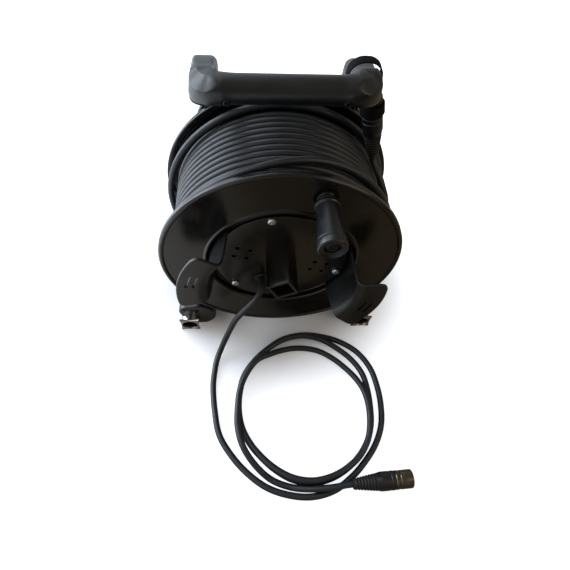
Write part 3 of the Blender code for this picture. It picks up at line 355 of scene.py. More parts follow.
def black_chrome():
    """Black chrome on a zinc casting: a dark grey mirror."""
    look = surface("black_chrome_plate", Metallic=1.0)
    coloured(look, 5, "#2c2b2a", "#3c3a37")
    roughened(look, 2, 0.25, 0.4, 5.0)
    return look[0]


def blackened_steel():
    """Chemically blackened steel: near black, with a thin film of oil that shines."""
    look = surface("blackened_oiled_steel", Metallic=0.6)
    coloured(look, 3, "#17181a", "#2a2b2d", 4.0)
    roughened(look, 1.5, 0.3, 0.45, 4.0)
    return look[0]


def zinc_plate():
    """Bright zinc on turned steel: silver with a trace of blue and fine tumbling marks."""
    look = surface("bright_zinc_plate", Metallic=1.0)
    coloured(look, 6, "#c3c7cc", "#dcdedf", 4.0)
    roughened(look, 1.5, 0.2, 0.36, 5.0)
    return look[0]


def bearing_bronze():
    """Sintered bronze: brown-gold and slightly porous."""
    look = surface("sintered_bronze", Metallic=1.0)
    coloured(look, 0.8, "#8a6a3a", "#b8935a", 4.0)
    roughened(look, 2, 0.38, 0.5)
    return look[0]


def dark_nickel():
    """Black nickel on a zinc casting: a warm, dark mirror."""
    look = surface("black_nickel_plate", Metallic=1.0)
    coloured(look, 5, "#5a5347", "#746b5a")
    roughened(look, 2, 0.18, 0.3, 5.0)
    return look[0]


def hook_and_loop():
    """Woven nylon strap with a brushed face: dull black, almost without shine."""
    look = made, tree, shader, place = surface("woven_nylon_strap", Specular_IOR_Level=0.15)
    coloured(look, 1.2, "#050506", "#0b0b0c")
    roughened(look, 3, 0.75, 0.9)
    weave = add(tree, "ShaderNodeTexWave", {"Vector": place, "Scale": 1 / (7 * MM), "Distortion": 1.5})
    raised(tree, shader, weave.outputs["Fac"], 0.15, 0.6)
    return made


GLOSS = (gloss_abs(), "gloss_black_plastic")
PLATED_END = (plated_nylon_painted_bore_shade(), "satin_black_plastic")
SATIN = (satin_nylon(), "satin_black_plastic")
JACKET = (pvc_jacket(), "grey_cable_jacket")
RUBBER = (soft_rubber(), "black_rubber")
COAT = (powder_coat(), "black_powder_coat")
CHROME = (chrome_plate(), "bright_chrome_steel")
ZINC = (zinc_plate(), "zinc_plated_steel")
DARK_STEEL = (blackened_steel(), "zinc_plated_steel")
BRONZE = (bearing_bronze(), "bearing_bronze")
NICKEL = (dark_nickel(), "nickel_shell")
DARK_SHELL = (black_chrome(), "nickel_shell")
STRAP = (hook_and_loop(), "black_strap")


def dress(piece, finish):
    """Gives a piece its finish."""
    piece.data.materials.clear()
    piece.data.materials.append(finish[0])


def placed(name, data):
    """A new object in the scene."""
    made = bpy.data.objects.new(name, data)
    bpy.context.scene.collection.objects.link(made)
    return made


def piece_of(name, mesh, finish, body, replaces=(), sharp=34):
    """A finished mesh as a piece that rides on a body and stands for CAD nodes."""
    mesh.name = name
    mesh.shade_smooth()
    mesh.set_sharp_from_angle(angle=math.radians(sharp))
    piece = placed(name, mesh)
    dress(piece, finish)
    if body:
        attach(piece, body)
    if replaces:
        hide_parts(*replaces)
    return piece


def as_mesh(shape):
    """A bmesh as a mesh. The bmesh is used up."""
    mesh = bpy.data.meshes.new("shape")
    shape.to_mesh(mesh)
    shape.free()
    return mesh


def mesh_of(shape):
    """A closed bmesh, its doubles merged and its faces turned outwards, as a mesh."""
    bmesh.ops.remove_doubles(shape, verts=shape.verts, dist=MERGE)
    bmesh.ops.recalc_face_normals(shape, faces=shape.faces)
    return as_mesh(shape)


def chain(shape, points, closed):
    """Vertices joined by edges through points in metres."""
    verts = [shape.verts.new(point) for point in points]
    pairs = list(zip(verts, verts[1:]))
    if closed:
        pairs.append((verts[-1], verts[0]))
    return verts + [shape.edges.new(pair) for pair in pairs]


def edges_of(parts):
    """The edges among a bmesh's parts."""
    return [part for part in parts if isinstance(part, bmesh.types.BMEdge)]


def skin(shape, chains):
    """Faces between each chain and the next."""
    for near, far in zip(chains, chains[1:]):
        bmesh.ops.bridge_loops(shape, edges=edges_of(near + far))


def eased(profile, radius, closed=True):
    """The same outline with its corners rounded."""
    points = [Vector(point) for point in profile]
    found = []
    for index, corner in enumerate(points):
        last = index == len(points) - 1
        if not closed and (index == 0 or last):
            found.append(corner)
            continue
        before = points[index - 1] - corner
        after = points[0 if last else index + 1] - corner
        turn = math.pi - before.angle(after)
        if turn < math.radians(LEAST_TURN):
            found.append(corner)
            continue
        most = 0.45 * min(before.length, after.length)
        cut = min(radius * math.tan(turn / 2), most)
        start, end = corner + before.normalized() * cut, corner + after.normalized() * cut
        for share in (0.0, 0.25, 0.5, 0.75, 1.0):
            found.append(start.lerp(corner, share).lerp(corner.lerp(end, share), share))
    return found


def turned_shape(profile, centre=(0, 0), steps=96, closed=True):
    """A profile of (radius, depth) turned about a line from front to back, centre counted from the axis."""
    shape = bmesh.new()
    points = [on_axis(centre[0] + radius, depth, centre[1]) for radius, depth in profile]
    geometry = chain(shape, points, closed)
    middle = on_axis(centre[0], 0, centre[1])
    bmesh.ops.spin(
        shape, geom=geometry, cent=middle, axis=(0, 1, 0), angle=2 * math.pi, steps=steps, use_merge=True
    )
    return shape


def turned(name, profile, finish, body, replaces=(), centre=(0, 0), steps=96, closed=True):
    """A finished piece turned about a line from front to back."""
    return piece_of(name, mesh_of(turned_shape(profile, centre, steps, closed)), finish, body, replaces)


def pointing(place, direction):
    """The turn and shift that lay the Z axis along a direction, from a place in metres."""
    return Matrix.Translation(place) @ Vector(direction).to_track_quat("Z", "Y").to_matrix().to_4x4()


def turned_along(profile, start, direction, steps=48, closed=True):
    """A profile of (radius, distance) turned about a line from start, in millimetres, as a mesh."""
    shape = bmesh.new()
    geometry = chain(shape, [Vector((radius, 0, distance)) * MM for radius, distance in profile], closed)
    bmesh.ops.spin(
        shape, geom=geometry, cent=(0, 0, 0), axis=(0, 0, 1), angle=2 * math.pi, steps=steps, use_merge=True
    )
    bmesh.ops.transform(shape, matrix=pointing(at(*start), direction), verts=shape.verts)
    return mesh_of(shape)


def evaluated_mesh(obj):
    """The mesh that an object's modifiers or curve make, in the frame. The object is removed."""
    bpy.context.view_layer.update()
    graph = bpy.context.evaluated_depsgraph_get()
    mesh = bpy.data.meshes.new_from_object(obj.evaluated_get(graph), depsgraph=graph)
    mesh.transform(obj.matrix_world)
    bpy.data.objects.remove(obj, do_unlink=True)
    return mesh


def welded(mesh, dist=MERGE):
    """The same mesh with its doubles merged and its faces turned outwards."""
    shape = bmesh.new()
    shape.from_mesh(mesh)
    bmesh.ops.remove_doubles(shape, verts=shape.verts, dist=dist)
    bmesh.ops.recalc_face_normals(shape, faces=shape.faces)
    shape.to_mesh(mesh)
    shape.free()
    return mesh


def carved(mesh, cutters, operation="DIFFERENCE"):
    """A mesh cut by or joined with others, which are all used up."""
    body = placed("uncut", mesh)
    tools = []
    for cutter in cutters:
        tool = placed("tool", cutter)
        tools.append(tool)
        step = body.modifiers.new("step", "BOOLEAN")
        step.operation = operation
        step.object = tool
        step.solver = "EXACT"
    made = evaluated_mesh(body)
    for tool in tools:
        bpy.data.objects.remove(tool, do_unlink=True)
    return made


def rod(start, end, radius, sides=32):
    """A straight rod between two places in metres, as a mesh."""
    shape = bmesh.new()
    along = end - start
    bmesh.ops.create_cone(
        shape,
        cap_ends=True,
        segments=sides,
        radius1=radius * MM,
        radius2=radius * MM,
        depth=along.length,
        matrix=pointing((start + end) / 2, along),
    )
    return mesh_of(shape)


def arc(centre, radius, start, end, steps):
    """Points along an arc, its angles in degrees."""
    found = []
    for step in range(steps + 1):
        x, z = polar(radius, start + (end - start) * step / steps)
        found.append((centre[0] + x, centre[1] + z))
    return found


def circle(centre, radius, sides=48):
    """Points round a whole circle, the first one not repeated."""
    return arc(centre, radius, 0, 360 - 360 / sides, sides - 1)


def rounded_box(centre, width, height, corner, steps):
    """The outline of a box with round corners."""
    found = []
    for turn, (side, top) in enumerate(((1, 1), (-1, 1), (-1, -1), (1, -1))):
        middle = (centre[0] + side * (width / 2 - corner), centre[1] + top * (height / 2 - corner))
        found += arc(middle, corner, 90 * turn, 90 * turn + 90, steps)
    return found


def turned_by(points, degrees):
    """Flat points turned about the middle."""
    cosine, sine = math.cos(math.radians(degrees)), math.sin(math.radians(degrees))
    return [(x * cosine - z * sine, x * sine + z * cosine) for x, z in points]


def plate(outlines, front, back, edge, height=0.0):
    """A flat piece across the reel from outlines of (x, z), the inner ones holes, with its edges rounded."""
    curve = bpy.data.curves.new("outline", "CURVE")
    curve.dimensions = "2D"
    curve.fill_mode = "BOTH"
    curve.extrude = ((back - front) / 2 - edge) * MM
    curve.bevel_depth = edge * MM
    curve.bevel_resolution = 2
    curve.offset = -edge * MM
    for outline in outlines:
        spline = curve.splines.new("POLY")
        spline.points.add(len(outline) - 1)
        for place, (x, z) in zip(spline.points, outline):
            place.co = (x * MM, z * MM, 0, 1)
        spline.use_cyclic_u = True
    flat = placed("outline", curve)
    middle = at(0, (front + back) / 2, height)
    flat.matrix_world = Matrix.Translation(middle) @ Matrix.Rotation(math.pi / 2, 4, "X")
    return welded(evaluated_mesh(flat), 0.00002)


def even(fine, spacing):
    """The same line with its points spread evenly, about one spacing apart."""
    length = sum((b - a).length for a, b in zip(fine, fine[1:]))
    count = max(2, round(length / spacing))
    wanted = [length * index / count for index in range(1, count)]
    found, run = [fine[0]], 0.0
    for start, end in zip(fine, fine[1:]):
        step = (end - start).length
        while wanted and wanted[0] <= run + step:
            found.append(start.lerp(end, (wanted.pop(0) - run) / step))
        run += step
    return [*found, fine[-1]]


def between(before, start, end, after, t):
    """The place at t, from 0 at start to 1 at end, on a smooth curve through four points."""
    linear_part = 2 * start + (end - before) * t
    square_part = (2 * before - 5 * start + 4 * end - after) * t * t
    cubic_part = (3 * start - before - 3 * end + after) * t**3
    return 0.5 * (linear_part + square_part + cubic_part)


def held_ends(stations):
    """The stations with one more before the first and after the last, straight on."""
    return [2 * stations[0] - stations[1], *stations, 2 * stations[-1] - stations[-2]]


def smooth_route(stations, spacing):
    """Points at even spacing along one smooth curve through the stations."""
    stations = [Vector(station) for station in stations]
    held = held_ends(stations)
    steps = 12
    fine = []
    for index in range(len(stations) - 1):
        for step in range(steps):
            fine.append(between(*held[index : index + 4], step / steps))
    return even([*fine, stations[-1]], spacing)


def keyed(keys, place):
    """A value read smoothly from (place, value) pairs."""
    for (low, first), (high, last) in zip(keys, keys[1:]):
        if place <= high:
            share = max(0.0, (place - low) / (high - low))
            share = share * share * (3 - 2 * share)
            return first + (last - first) * share
    return keys[-1][1]


def tube_mesh(points, radius, resolution=6, caps=True):
    """A round tube along points in millimetres, with 4 + 2 * resolution sides."""
    curve = bpy.data.curves.new("line", "CURVE")
    curve.dimensions = "3D"
    curve.bevel_depth = radius * MM
    curve.bevel_resolution = resolution
    curve.use_fill_caps = caps
    spline = curve.splines.new("POLY")
    spline.points.add(len(points) - 1)
    for place, point in zip(spline.points, points):
        place.co = (*at(*point), 1)
    spline.use_smooth = True
    line = placed("line", curve)
    return welded(evaluated_mesh(line))


def camera():
    """The camera that saw the photograph."""
    yaw, pitch, roll = (math.radians(angle) for angle in (CAMERA_YAW, CAMERA_PITCH, CAMERA_ROLL))
    ahead = Vector((math.sin(yaw) * math.cos(pitch), math.cos(yaw) * math.cos(pitch), -math.sin(pitch)))
    level = Vector((math.cos(yaw), -math.sin(yaw), 0))
    steep = level.cross(ahead)
    right = level * math.cos(roll) + steep * math.sin(roll)
    up = steep * math.cos(roll) - level * math.sin(roll)
    data = bpy.data.cameras.new("photo_camera")
    data.lens = data.sensor_width * FOCAL_PIXELS / PHOTO_SIDE
    data.clip_start = 0.01
    eye = placed("photo_camera", data)
    turn = Matrix((right, up, -ahead)).transposed().to_4x4()
    eye.matrix_world = Matrix.Translation(at(*CAMERA_PLACE)) @ turn
    bpy.context.scene.camera = eye


def lamp(name, place, aim, size, power, colour):
    """A soft round lamp at a place, aimed at another, in metres."""
    data = bpy.data.lights.new(name, "AREA")
    data.shape = "DISK"
    data.size = size
    data.energy = power
    data.color = linear(colour)[:3]
    light = placed(name, data)
    light.location = place
    light.rotation_euler = (Vector(aim) - Vector(place)).to_track_quat("-Z", "Y").to_euler()


def table_finish():
    """White laminate with painted light. The camera sees it glow white away from the reel, which leaves a
    painted shadow round the reel. The reel mirrors a painted reflection of it: white behind on the left, with
    a painted window that glows to mirroring rays, and brownish in front."""
    made, tree, shader, place = surface("white_laminate", Roughness=0.7)
    rays = add(tree, "ShaderNodeLightPath", {})
    seen = rays.outputs["Is Camera Ray"]
    side = towards(tree, place, WINDOW_SIDE)
    # Painted reflection: rays other than the camera's see the floor brownish in front and white behind on the
    # left, and the reel mirrors these colours.
    mirrored = tinted(tree, ramp(tree, side, -0.15, 0.3), "#a8987c", "#eef4fb")
    ahead = ramp(tree, towards(tree, place, (0.0, 1.0, 0.0)), -0.45, -0.2)
    mirrored = colour_mix(tree, ahead, linear("#2a2622"), mirrored)
    tree.links.new(colour_mix(tree, seen, mirrored, linear("#ececec")), shader.inputs["Base Color"])
    # Painted shadow: the camera sees the floor glow white only away from the reel. The glow is weak within a
    # tenth of a metre and full white at two tenths, so the floor round the reel is painted darker.
    under_reel, painted_shadow_reach, white_from = (0.0, 0.04, 0.0), 0.1, 0.2
    away = add(tree, "ShaderNodeVectorMath", {0: place, 1: under_reel}, operation="DISTANCE")
    glow_with_painted_shadow = ramp(tree, away.outputs["Value"], painted_shadow_reach, white_from, 0.02, 0.95)
    shader.inputs["Emission Color"].default_value = linear("#f2f7ff")
    # Painted reflection: on the left the floor glows to mirroring rays only, a painted window that shows in
    # the reel's gloss.
    left = towards(tree, place, (-1.0, -0.3, 0.0))
    window = product(tree, rays.outputs["Is Glossy Ray"], ramp(tree, left, 0.07, 0.4, 0.0, 1.0))
    sockets = {0: seen, 1: glow_with_painted_shadow, 2: window}
    lift = add(tree, "ShaderNodeMath", sockets, operation="MULTIPLY_ADD")
    tree.links.new(lift.outputs[0], shader.inputs["Emission Strength"])
    return made


def room():
    """A room with a bright, cool window on the left behind the reel and a dim, warm side on the right. The
    window is up to twice as bright to mirroring rays, and the camera sees plain white."""
    world = bpy.data.worlds.new("window_room")
    world.use_nodes = True
    tree = world.node_tree
    back = tree.nodes["Background"]
    place = add(tree, "ShaderNodeTexCoord", {}).outputs["Generated"]
    side = ramp(tree, towards(tree, place, WINDOW_SIDE), 0.1, 0.75)
    rays = add(tree, "ShaderNodeLightPath", {})
    seen, mirroring = rays.outputs["Is Camera Ray"], rays.outputs["Is Glossy Ray"]
    light = tinted(tree, side, "#e9e2d6", "#dfeaf8")
    tree.links.new(colour_mix(tree, seen, light, linear("#ffffff")), back.inputs["Color"])
    left = towards(tree, place, (-1.0, 0.2, 0.2))
    window = product(tree, mirroring, ramp(tree, left, 0.12, 0.7, 0.0, 1.0))
    window = product(tree, window, ramp(tree, towards(tree, place, (0, 0, 1)), 0.0, 0.35))
    dim_side, bright_side, plain_white = 0.3, 1.0, 1.0
    sockets = {0: ramp(tree, side, 0.0, 1.0, dim_side, bright_side), 1: window}
    sockets = {0: seen, 2: add(tree, "ShaderNodeMath", sockets).outputs[0], 3: plain_white}
    tree.links.new(add(tree, "ShaderNodeMix", sockets).outputs[0], back.inputs["Strength"])
    bpy.context.scene.world = world


def studio():
    """A white table with soft light from the upper left, a window at the left and a weak, warm fill."""
    shape = bmesh.new()
    bmesh.ops.create_grid(shape, x_segments=1, y_segments=1, size=4)
    table = placed("table", as_mesh(shape))
    table.data.materials.append(table_finish())
    room()
    lamp("key", (-0.9, 0.5, 1.1), (0, 0, 0.12), 1.5, 6, "#f0f6ff")
    lamp("window", (-1.1, 0.35, 0.45), (0.0, 0.0, 0.18), 1.0, 10, "#e8f1ff")
    lamp("fill", (1.0, -0.5, 0.9), (0, 0, 0.1), 1.0, 2.5, "#ffe6cc")
    bpy.context.scene.view_settings.view_transform = "Standard"


def coil_points():
    """The coil's turns on the floor, a point every 15 degrees."""
    radii = [(angle, radius) for angle, radius, _ in COIL_KEYS]
    heights = [(angle, height) for angle, _, height in COIL_KEYS]
    found = []
    for angle in range(COIL_KEYS[0][0], COIL_KEYS[-1][0] + 1, LOOP_STEP):
        x, y = polar(keyed(radii, angle), angle)
        found.append(Vector((COIL_CENTRE[0] + x, COIL_CENTRE[1] + y, keyed(heights, angle))))
    return found


def lead(plug):
    """The free lead, from the grommet to its connector."""
    plug_end = (PLUG_START - PLUG_ALONG * BEFORE_BOOT, PLUG_START + PLUG_ALONG * IN_BOOT)
    stations = [*LEAD_HANG, *coil_points(), *plug_end]
    route = [Vector((x, y, max(z, CABLE_R + CLEAR))) for x, y, z in smooth_route(stations, 4)]
    mesh = tube_mesh(route, CABLE_R - CLEAR)
    piece = piece_of("lead_cable", mesh, JACKET, None, ("lead_drop", "lead_coil"))
    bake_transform(piece)


def winding():
    """The drum's outer layer of cable in one length, its last turn crossing over the others."""
    steps = round(WINDING_TURNS * 360 / LOOP_STEP)
    stations = []
    for step in range(steps):
        left = (steps - step) * LOOP_STEP
        x, z = polar(WINDING_R, LAST_TURN_ANGLE + left)
        stations.append((x, WINDING_FRONT + CABLE_PITCH * left / 360, AXIS_Z + z))
    for angle in range(LAST_TURN_ANGLE, LAST_TURN_END - 1, -LOOP_STEP):
        x, z = polar(keyed(LAST_TURN_RADIUS, -angle), angle)
        stations.append((x, keyed(LAST_TURN_DEPTH, -angle), AXIS_Z + z))
    route = smooth_route(stations, 5)
    piece_of("wound_cable", tube_mesh(route, CABLE_R), JACKET, "drum", ("cable_winding",))


def inner_layer():
    """The layer below, which shows in the grooves: turns lying half a pitch along."""
    low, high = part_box("winding_filling")
    front, back = low.y / MM - FACE_Y, high.y / MM - FACE_Y
    inside, radius = 66.0, WINDING_R - 6.3
    profile = [(inside, back), (radius, back)]
    count = int((back - front) / CABLE_PITCH)
    for turn in range(count):
        middle = back - CABLE_PITCH * (turn + 0.5)
        for degrees in (-80, -50, -25, 0, 25, 50, 80):
            out, along = polar(CABLE_R * 0.98, degrees)
            profile.append((radius - CABLE_R + out, middle - along))
    profile += [(radius, front), (inside, front)]
    turned("wound_cable_below", profile, JACKET, "drum", ("winding_filling",), steps=120)


def inner_run():
    """The cable inside the drum: from the core in towards the exit, then forward through the grommet."""
    stations = []
    for radius, depth in ((64, 36), (56, 36), (48, 36), (41, 31)):
        x, z = polar(radius, 238)
        stations.append((x, depth, AXIS_Z + z))
    stations += [(EXIT_X, depth, AXIS_Z + EXIT_Z) for depth in (22, 14, 8, 1.4)]
    piece_of("inner_cable", tube_mesh(smooth_route(stations, 4), CABLE_R), JACKET, "drum", ("inner_run",))


def tail():
    """The cable's outer end: a loose turn, then up to the hanging connector."""
    stations = []
    for angle in range(TAIL_ANGLES[0], TAIL_ANGLES[1] + 1, LOOP_STEP):
        x, z = polar(keyed(TAIL_RADIUS, angle), angle)
        stations.append((x, keyed(TAIL_DEPTH, angle), AXIS_Z + z))
    stations += [*TAIL_RISE, TAIL_BOTTOM - TAIL_UP * BEFORE_BOOT, TAIL_BOTTOM + TAIL_UP * IN_BOOT]
    route = smooth_route(stations, 4)
    piece_of("tail_cable", tube_mesh(route, CABLE_R), JACKET, "frame", ("cable_tail",))


def connector(name, start, along, nodes, plating=NICKEL):
    """A round cable connector: ribbed boot, body with a grip band, plated shell, and insert with contacts."""
    boot = [(CABLE_R + 0.1, 9.0), (CABLE_R + 0.1, 0.0), (5.2, 0.0)]
    ribs, ribbed_length, thin, thick = 7, 21.0, 5.4, 8.3
    for rib in range(ribs):
        for share, height in ((0.12, 0.0), (0.5, 0.25), (0.62, 0.0), (0.66, -0.9), (0.96, -0.9)):
            place = (rib + share) / ribs
            boot.append((thin + (thick - thin) * place + height, 1.2 + ribbed_length * place))
    boot += [(8.4, 22.6), (8.4, 24.0), (0.0, 24.0), (0.0, 9.0)]
    made = turned_along(boot, start, along, closed=False)
    pieces = [piece_of(f"{name}_boot_moulded", made, RUBBER, "frame", (nodes[0],))]
    body = [(0, 24.2), (8.5, 24.2), (8.7, 25.4), (9.5, 28.5), (9.5, 37.4), (9.1, 37.8), (9.1, 38.6)]
    body += [(9.5, 39.0), (9.5, 42.0), (9.2, 42.8), (0, 42.8)]
    made = turned_along(eased(body, 0.4, closed=False), start, along, closed=False)
    pieces.append(piece_of(f"{name}_body_moulded", made, SATIN, "frame", (nodes[1],)))
    end = 61.5
    shell = [(0, 43.2), (8.8, 43.2), (9.35, 43.9), (9.35, 46.6), (8.75, 47.3), (8.75, 48.2), (9.25, 48.8)]
    shell += [(9.3, end - 0.8), (8.9, end), (8.2, end), (7.9, end - 0.6), (7.8, 50.0), (0, 50.0)]
    made = turned_along(eased(shell, 0.25, closed=False), start, along, closed=False)
    pieces.append(piece_of(f"{name}_shell_plated", made, plating, "frame", (nodes[2],)))
    insert = bmesh.new()
    bmesh.ops.create_cube(insert, size=1)
    bmesh.ops.scale(insert, vec=Vector((11.6, 7.8, 10.5)) * MM, verts=insert.verts)
    bmesh.ops.bevel(
        insert, geom=insert.edges, offset=0.5 * MM, segments=2, affect="EDGES", profile=0.5, material=-1
    )
    bmesh.ops.translate(insert, vec=Vector((0, 0, 54.9)) * MM, verts=insert.verts)
    contacts, contact_step = 8, 1.02
    for contact in range(contacts):
        blade = bmesh.ops.create_cube(insert, size=1)["verts"]
        bmesh.ops.scale(insert, vec=Vector((0.45, 1.4, 5.0)) * MM, verts=blade)
        across = contact_step * (contact - (contacts - 1) / 2)
        bmesh.ops.translate(insert, vec=Vector((across, 3.4, 57.8)) * MM, verts=blade)
    bmesh.ops.transform(insert, matrix=pointing(at(*start), along), verts=insert.verts)
    pieces.append(piece_of(f"{name}_insert", mesh_of(insert), SATIN, "frame"))
    return pieces


def rim_profile():
    """A flange's rim, from its outer edge in over the bead on its face."""
    insets = ((0.0, 6.0), (0.0, 1.6), (1.6, 0.0), (3.4, 0.0), (5.0, 1.6))
    return [(FLANGE_R - inset, depth) for inset, depth in insets]


def web_back():
    """A flange's inner side, from the ring round its middle out along the web to the rim."""
    return [(52.0, 11.0), (74.9, 11.0), (76.5, 4.6), (FLANGE_R - 6.2, 4.6), (FLANGE_R - 5.0, 6.0)]


def front_flange():
    """The front flange: its rim, the ring on its face and the seat of the hub panel."""
    ring = [(76.9, 1.6), (75.4, 0.35), (74.2, 0.2), (72.9, 1.4)]
    panel_seat = [(72.5, 6.6), (71.3, 8.0), (67.4, 8.0), (66.4, 6.3), (52.0, 6.3)]
    profile = rim_profile() + ring + panel_seat + web_back()
    turned("front_flange_moulding", eased(profile, 0.9), GLOSS, "drum", ("front_flange",), steps=160)


def rear_flange():
    """The rear flange, whose web closes in on the axle."""
    floor = [(73.9, 1.6), (72.5, 6.3), (17.0, 6.3), (17.0, 9.3), (52.0, 9.3)]
    profile = rim_profile() + floor + web_back()
    mirrored = [(radius, DRUM_WIDTH - depth) for radius, depth in reversed(eased(profile, 0.9))]
    turned("rear_flange_moulding", mirrored, GLOSS, "drum", ("rear_flange",), steps=160)


def hub_panel():
    """The panel with its square plug park, two groups of four holes and the lead's exit."""
    disc = [(66.0, 6.0), (66.0, 3.0), (8.5, 3.0), (8.5, 6.0)]
    mesh = mesh_of(turned_shape(eased(disc, 0.6), steps=120))
    park_turn, park_side, park_bore, park_front = 26, 24, 18, -32.5
    outer = turned_by(rounded_box((0, 0), park_side, park_side, 1.4, 3), park_turn)
    inner = turned_by(rounded_box((0, 0), park_bore, park_bore, 0.8, 3), park_turn)
    mesh = carved(mesh, [plate([outer, inner], park_front, 4.0, 0.5, AXIS_Z)], "UNION")
    group_out, group_half, hole_r, exit_r, through = 40.5, 6.5, 2.2, 5.8, 10
    holes = []
    corners = [(group_out + a * group_half, b * group_half) for a in (-1, 1) for b in (-1, 1)]
    for turn in (162.5, 342.5):
        for x, z in turned_by(corners, turn):
            holes.append(rod(on_axis(x, 0, z), on_axis(x, through, z), hole_r, 24))
    holes.append(rod(on_axis(EXIT_X, 0, EXIT_Z), on_axis(EXIT_X, through, EXIT_Z), exit_r, 32))
    for turn in range(park_turn, park_turn + 360, 90):
        for depth in (-12, -24):
            for side in (-5, 5):
                (x, z), (far_x, far_z) = turned_by([(11.6, side), (14, side)], turn)
                holes.append(rod(on_axis(x, depth, z), on_axis(far_x, depth, far_z), 1.0, 16))
    piece_of("hub_panel_moulding", carved(mesh, holes), GLOSS, "drum", ("hub_panel",), 30)


def grommet():
    """A rubber grommet whose two collars grip the panel."""
    collars = [(7.4, 7.4), (7.4, 6.3), (5.5, 6.3), (5.5, 2.7), (7.4, 2.7), (7.1, 1.6)]
    profile = eased([*collars, (4.4, 1.3), (3.6, 1.9), (3.6, 7.4)], 0.5)
    turned("exit_grommet_moulded", profile, RUBBER, "drum", ("exit_grommet",), (EXIT_X, EXIT_Z), 48)


def hook(side, middle):
    """A storage hook: a wall that leans out from the flange, a bend, and a wide lip with two slots."""
    corner, rim, half_sweep, base_flare, columns = 7.0, 99.5, 25.0, 3.0, 48
    wall_line = [(69.9, 7.6), (69.9, 1.0), (70.2, -9.0), (71.0, -20.0), (72.2, -29.0), (73.4, -32.6)]
    lip_line = [(75.8, -35.0), (79.4, -36.2), (89.0, -37.0), (rim, -37.8)]
    route = smooth_route([(radius, depth, 0) for radius, depth in wall_line + lip_line], 1.6)
    shape = bmesh.new()
    rows = []
    for point in route:
        radius = point.x
        past = max(0.0, radius - (rim - corner))
        lost = corner - math.sqrt(max(0.0, corner**2 - past**2))
        flare = base_flare * min(1.0, max(0.0, 1 + point.y / 30))
        half = half_sweep + flare - math.degrees(lost / radius)
        row = []
        for column in range(columns + 1):
            x, z = polar(radius, middle - half + 2 * half * column / columns)
            row.append(on_axis(x, point.y, z))
        rows.append(chain(shape, row, False))
    skin(shape, rows)
    bmesh.ops.recalc_face_normals(shape, faces=shape.faces)
    sheet = placed("sheet", as_mesh(shape))
    wall = sheet.modifiers.new("wall", "SOLIDIFY")
    wall.thickness = 2.6 * MM
    wall.offset = 0
    soft = sheet.modifiers.new("edges", "BEVEL")
    soft.width = 0.7 * MM
    soft.segments = 3
    soft.limit_method = "ANGLE"
    soft.angle_limit = math.radians(60)
    mesh = evaluated_mesh(sheet)
    slots = []
    half_slot, start, end = 1.3, middle - 7.5, middle + 4
    for radius in (84.5, 91.0):
        near = arc((0, 0), radius - half_slot, start, end, 8)
        far = arc((0, 0), radius + half_slot, end, start, 8)
        slots.append(plate([near + far], -44, -30, 0.01, AXIS_Z))
    piece_of(f"hook_{side}_moulded", carved(welded(mesh), slots), SATIN, "drum", (f"stowage_hook_{side}",))


def crank():
    """The crank's grip with its flared end and the bolt that it turns on."""
    place, end = (34.2, 87.3), -49.5
    grip = [
        (4.4, -1.6),
        (10.2, -1.6),
        (11.0, -2.4),
        (11.0, -5.0),
        (10.1, -6.0),
        (9.9, -8.0),
        (10.2, -18.0),
        (10.9, -29.0),
        (11.7, -38.0),
        (12.0, end + 9.4),
        (11.7, end + 8.8),
        (11.8, end + 8.0),
        (12.4, end + 7.2),
        (12.7, end + 3.6),
        (12.4, end + 1.2),
        (11.3, end + 0.1),
        (10.2, end + 0.4),
        (8.4, end + 1.3),
        (6.9, end + 1.5),
        (6.6, end + 2.2),
        (6.6, end + 5.2),
        (4.4, end + 5.2),
    ]
    turned("crank_grip_moulded", eased(grip[::-1], 0.5), SATIN, "crank", ("crank_grip",), place, 72)
    head = [(0, end + 2.0), (4.6, end + 2.0), (5.6, end + 2.9), (5.6, end + 4.9)]
    bolt = eased([*head, (4, end + 4.9), (4, 9.6), (0, 9.6)], 0.3, False)
    mesh = mesh_of(turned_shape(bolt, place, 48, False))
    mesh = carved(mesh, cross_recess(place, end + 2.0, 1, 3.2))
    piece_of("crank_bolt_turned", mesh, DARK_STEEL, "drum", ("crank_bolt",))
    washer = [(8.5, 1.3), (8.5, -1.3), (4.3, -1.3), (4.3, 1.3)]
    turned("crank_washer_pressed", eased(washer, 0.4), ZINC, "drum", ("crank_washer",), place, 48)


def cross_recess(centre, face, into, reach):
    """Two crossed wedges that cut a screw driver's recess into a head's face."""
    found = []
    for turn in (20, 110):
        shape = bmesh.new()
        bmesh.ops.create_cube(shape, size=1)
        bmesh.ops.scale(shape, vec=Vector((reach, 3.2, reach * 0.27)) * MM, verts=shape.verts)
        deep = [vert for vert in shape.verts if vert.co.y * into > 0]
        bmesh.ops.scale(shape, vec=(0.35, 1, 0.8), verts=deep)
        bmesh.ops.rotate(shape, verts=shape.verts, matrix=Matrix.Rotation(math.radians(turn), 3, "Y"))
        bmesh.ops.translate(shape, vec=on_axis(centre[0], face - into * 0.2, centre[1]), verts=shape.verts)
        found.append(mesh_of(shape))
    return found


def pan_screw(
    name, centre, face, into, node, body="drum", head=4.0, height=2.2, length=6.0, finish=ZINC
):
    """A pan head screw. Its head stands on the face, away from where it points."""
    profile = [
        (0, face - into * height),
        (head * 0.62, face - into * height),
        (head * 0.9, face - into * height * 0.78),
        (head, face - into * height * 0.35),
        (head, face),
        (2.0, face),
        (2.0, face + into * length),
        (0, face + into * length),
    ]
    if into < 0:
        profile.reverse()
    mesh = mesh_of(turned_shape(eased(profile, 0.3, False), centre, 40, False))
    mesh = carved(mesh, cross_recess(centre, face - into * height, into, head * 1.25))
    piece_of(name, mesh, finish, body, (node,))


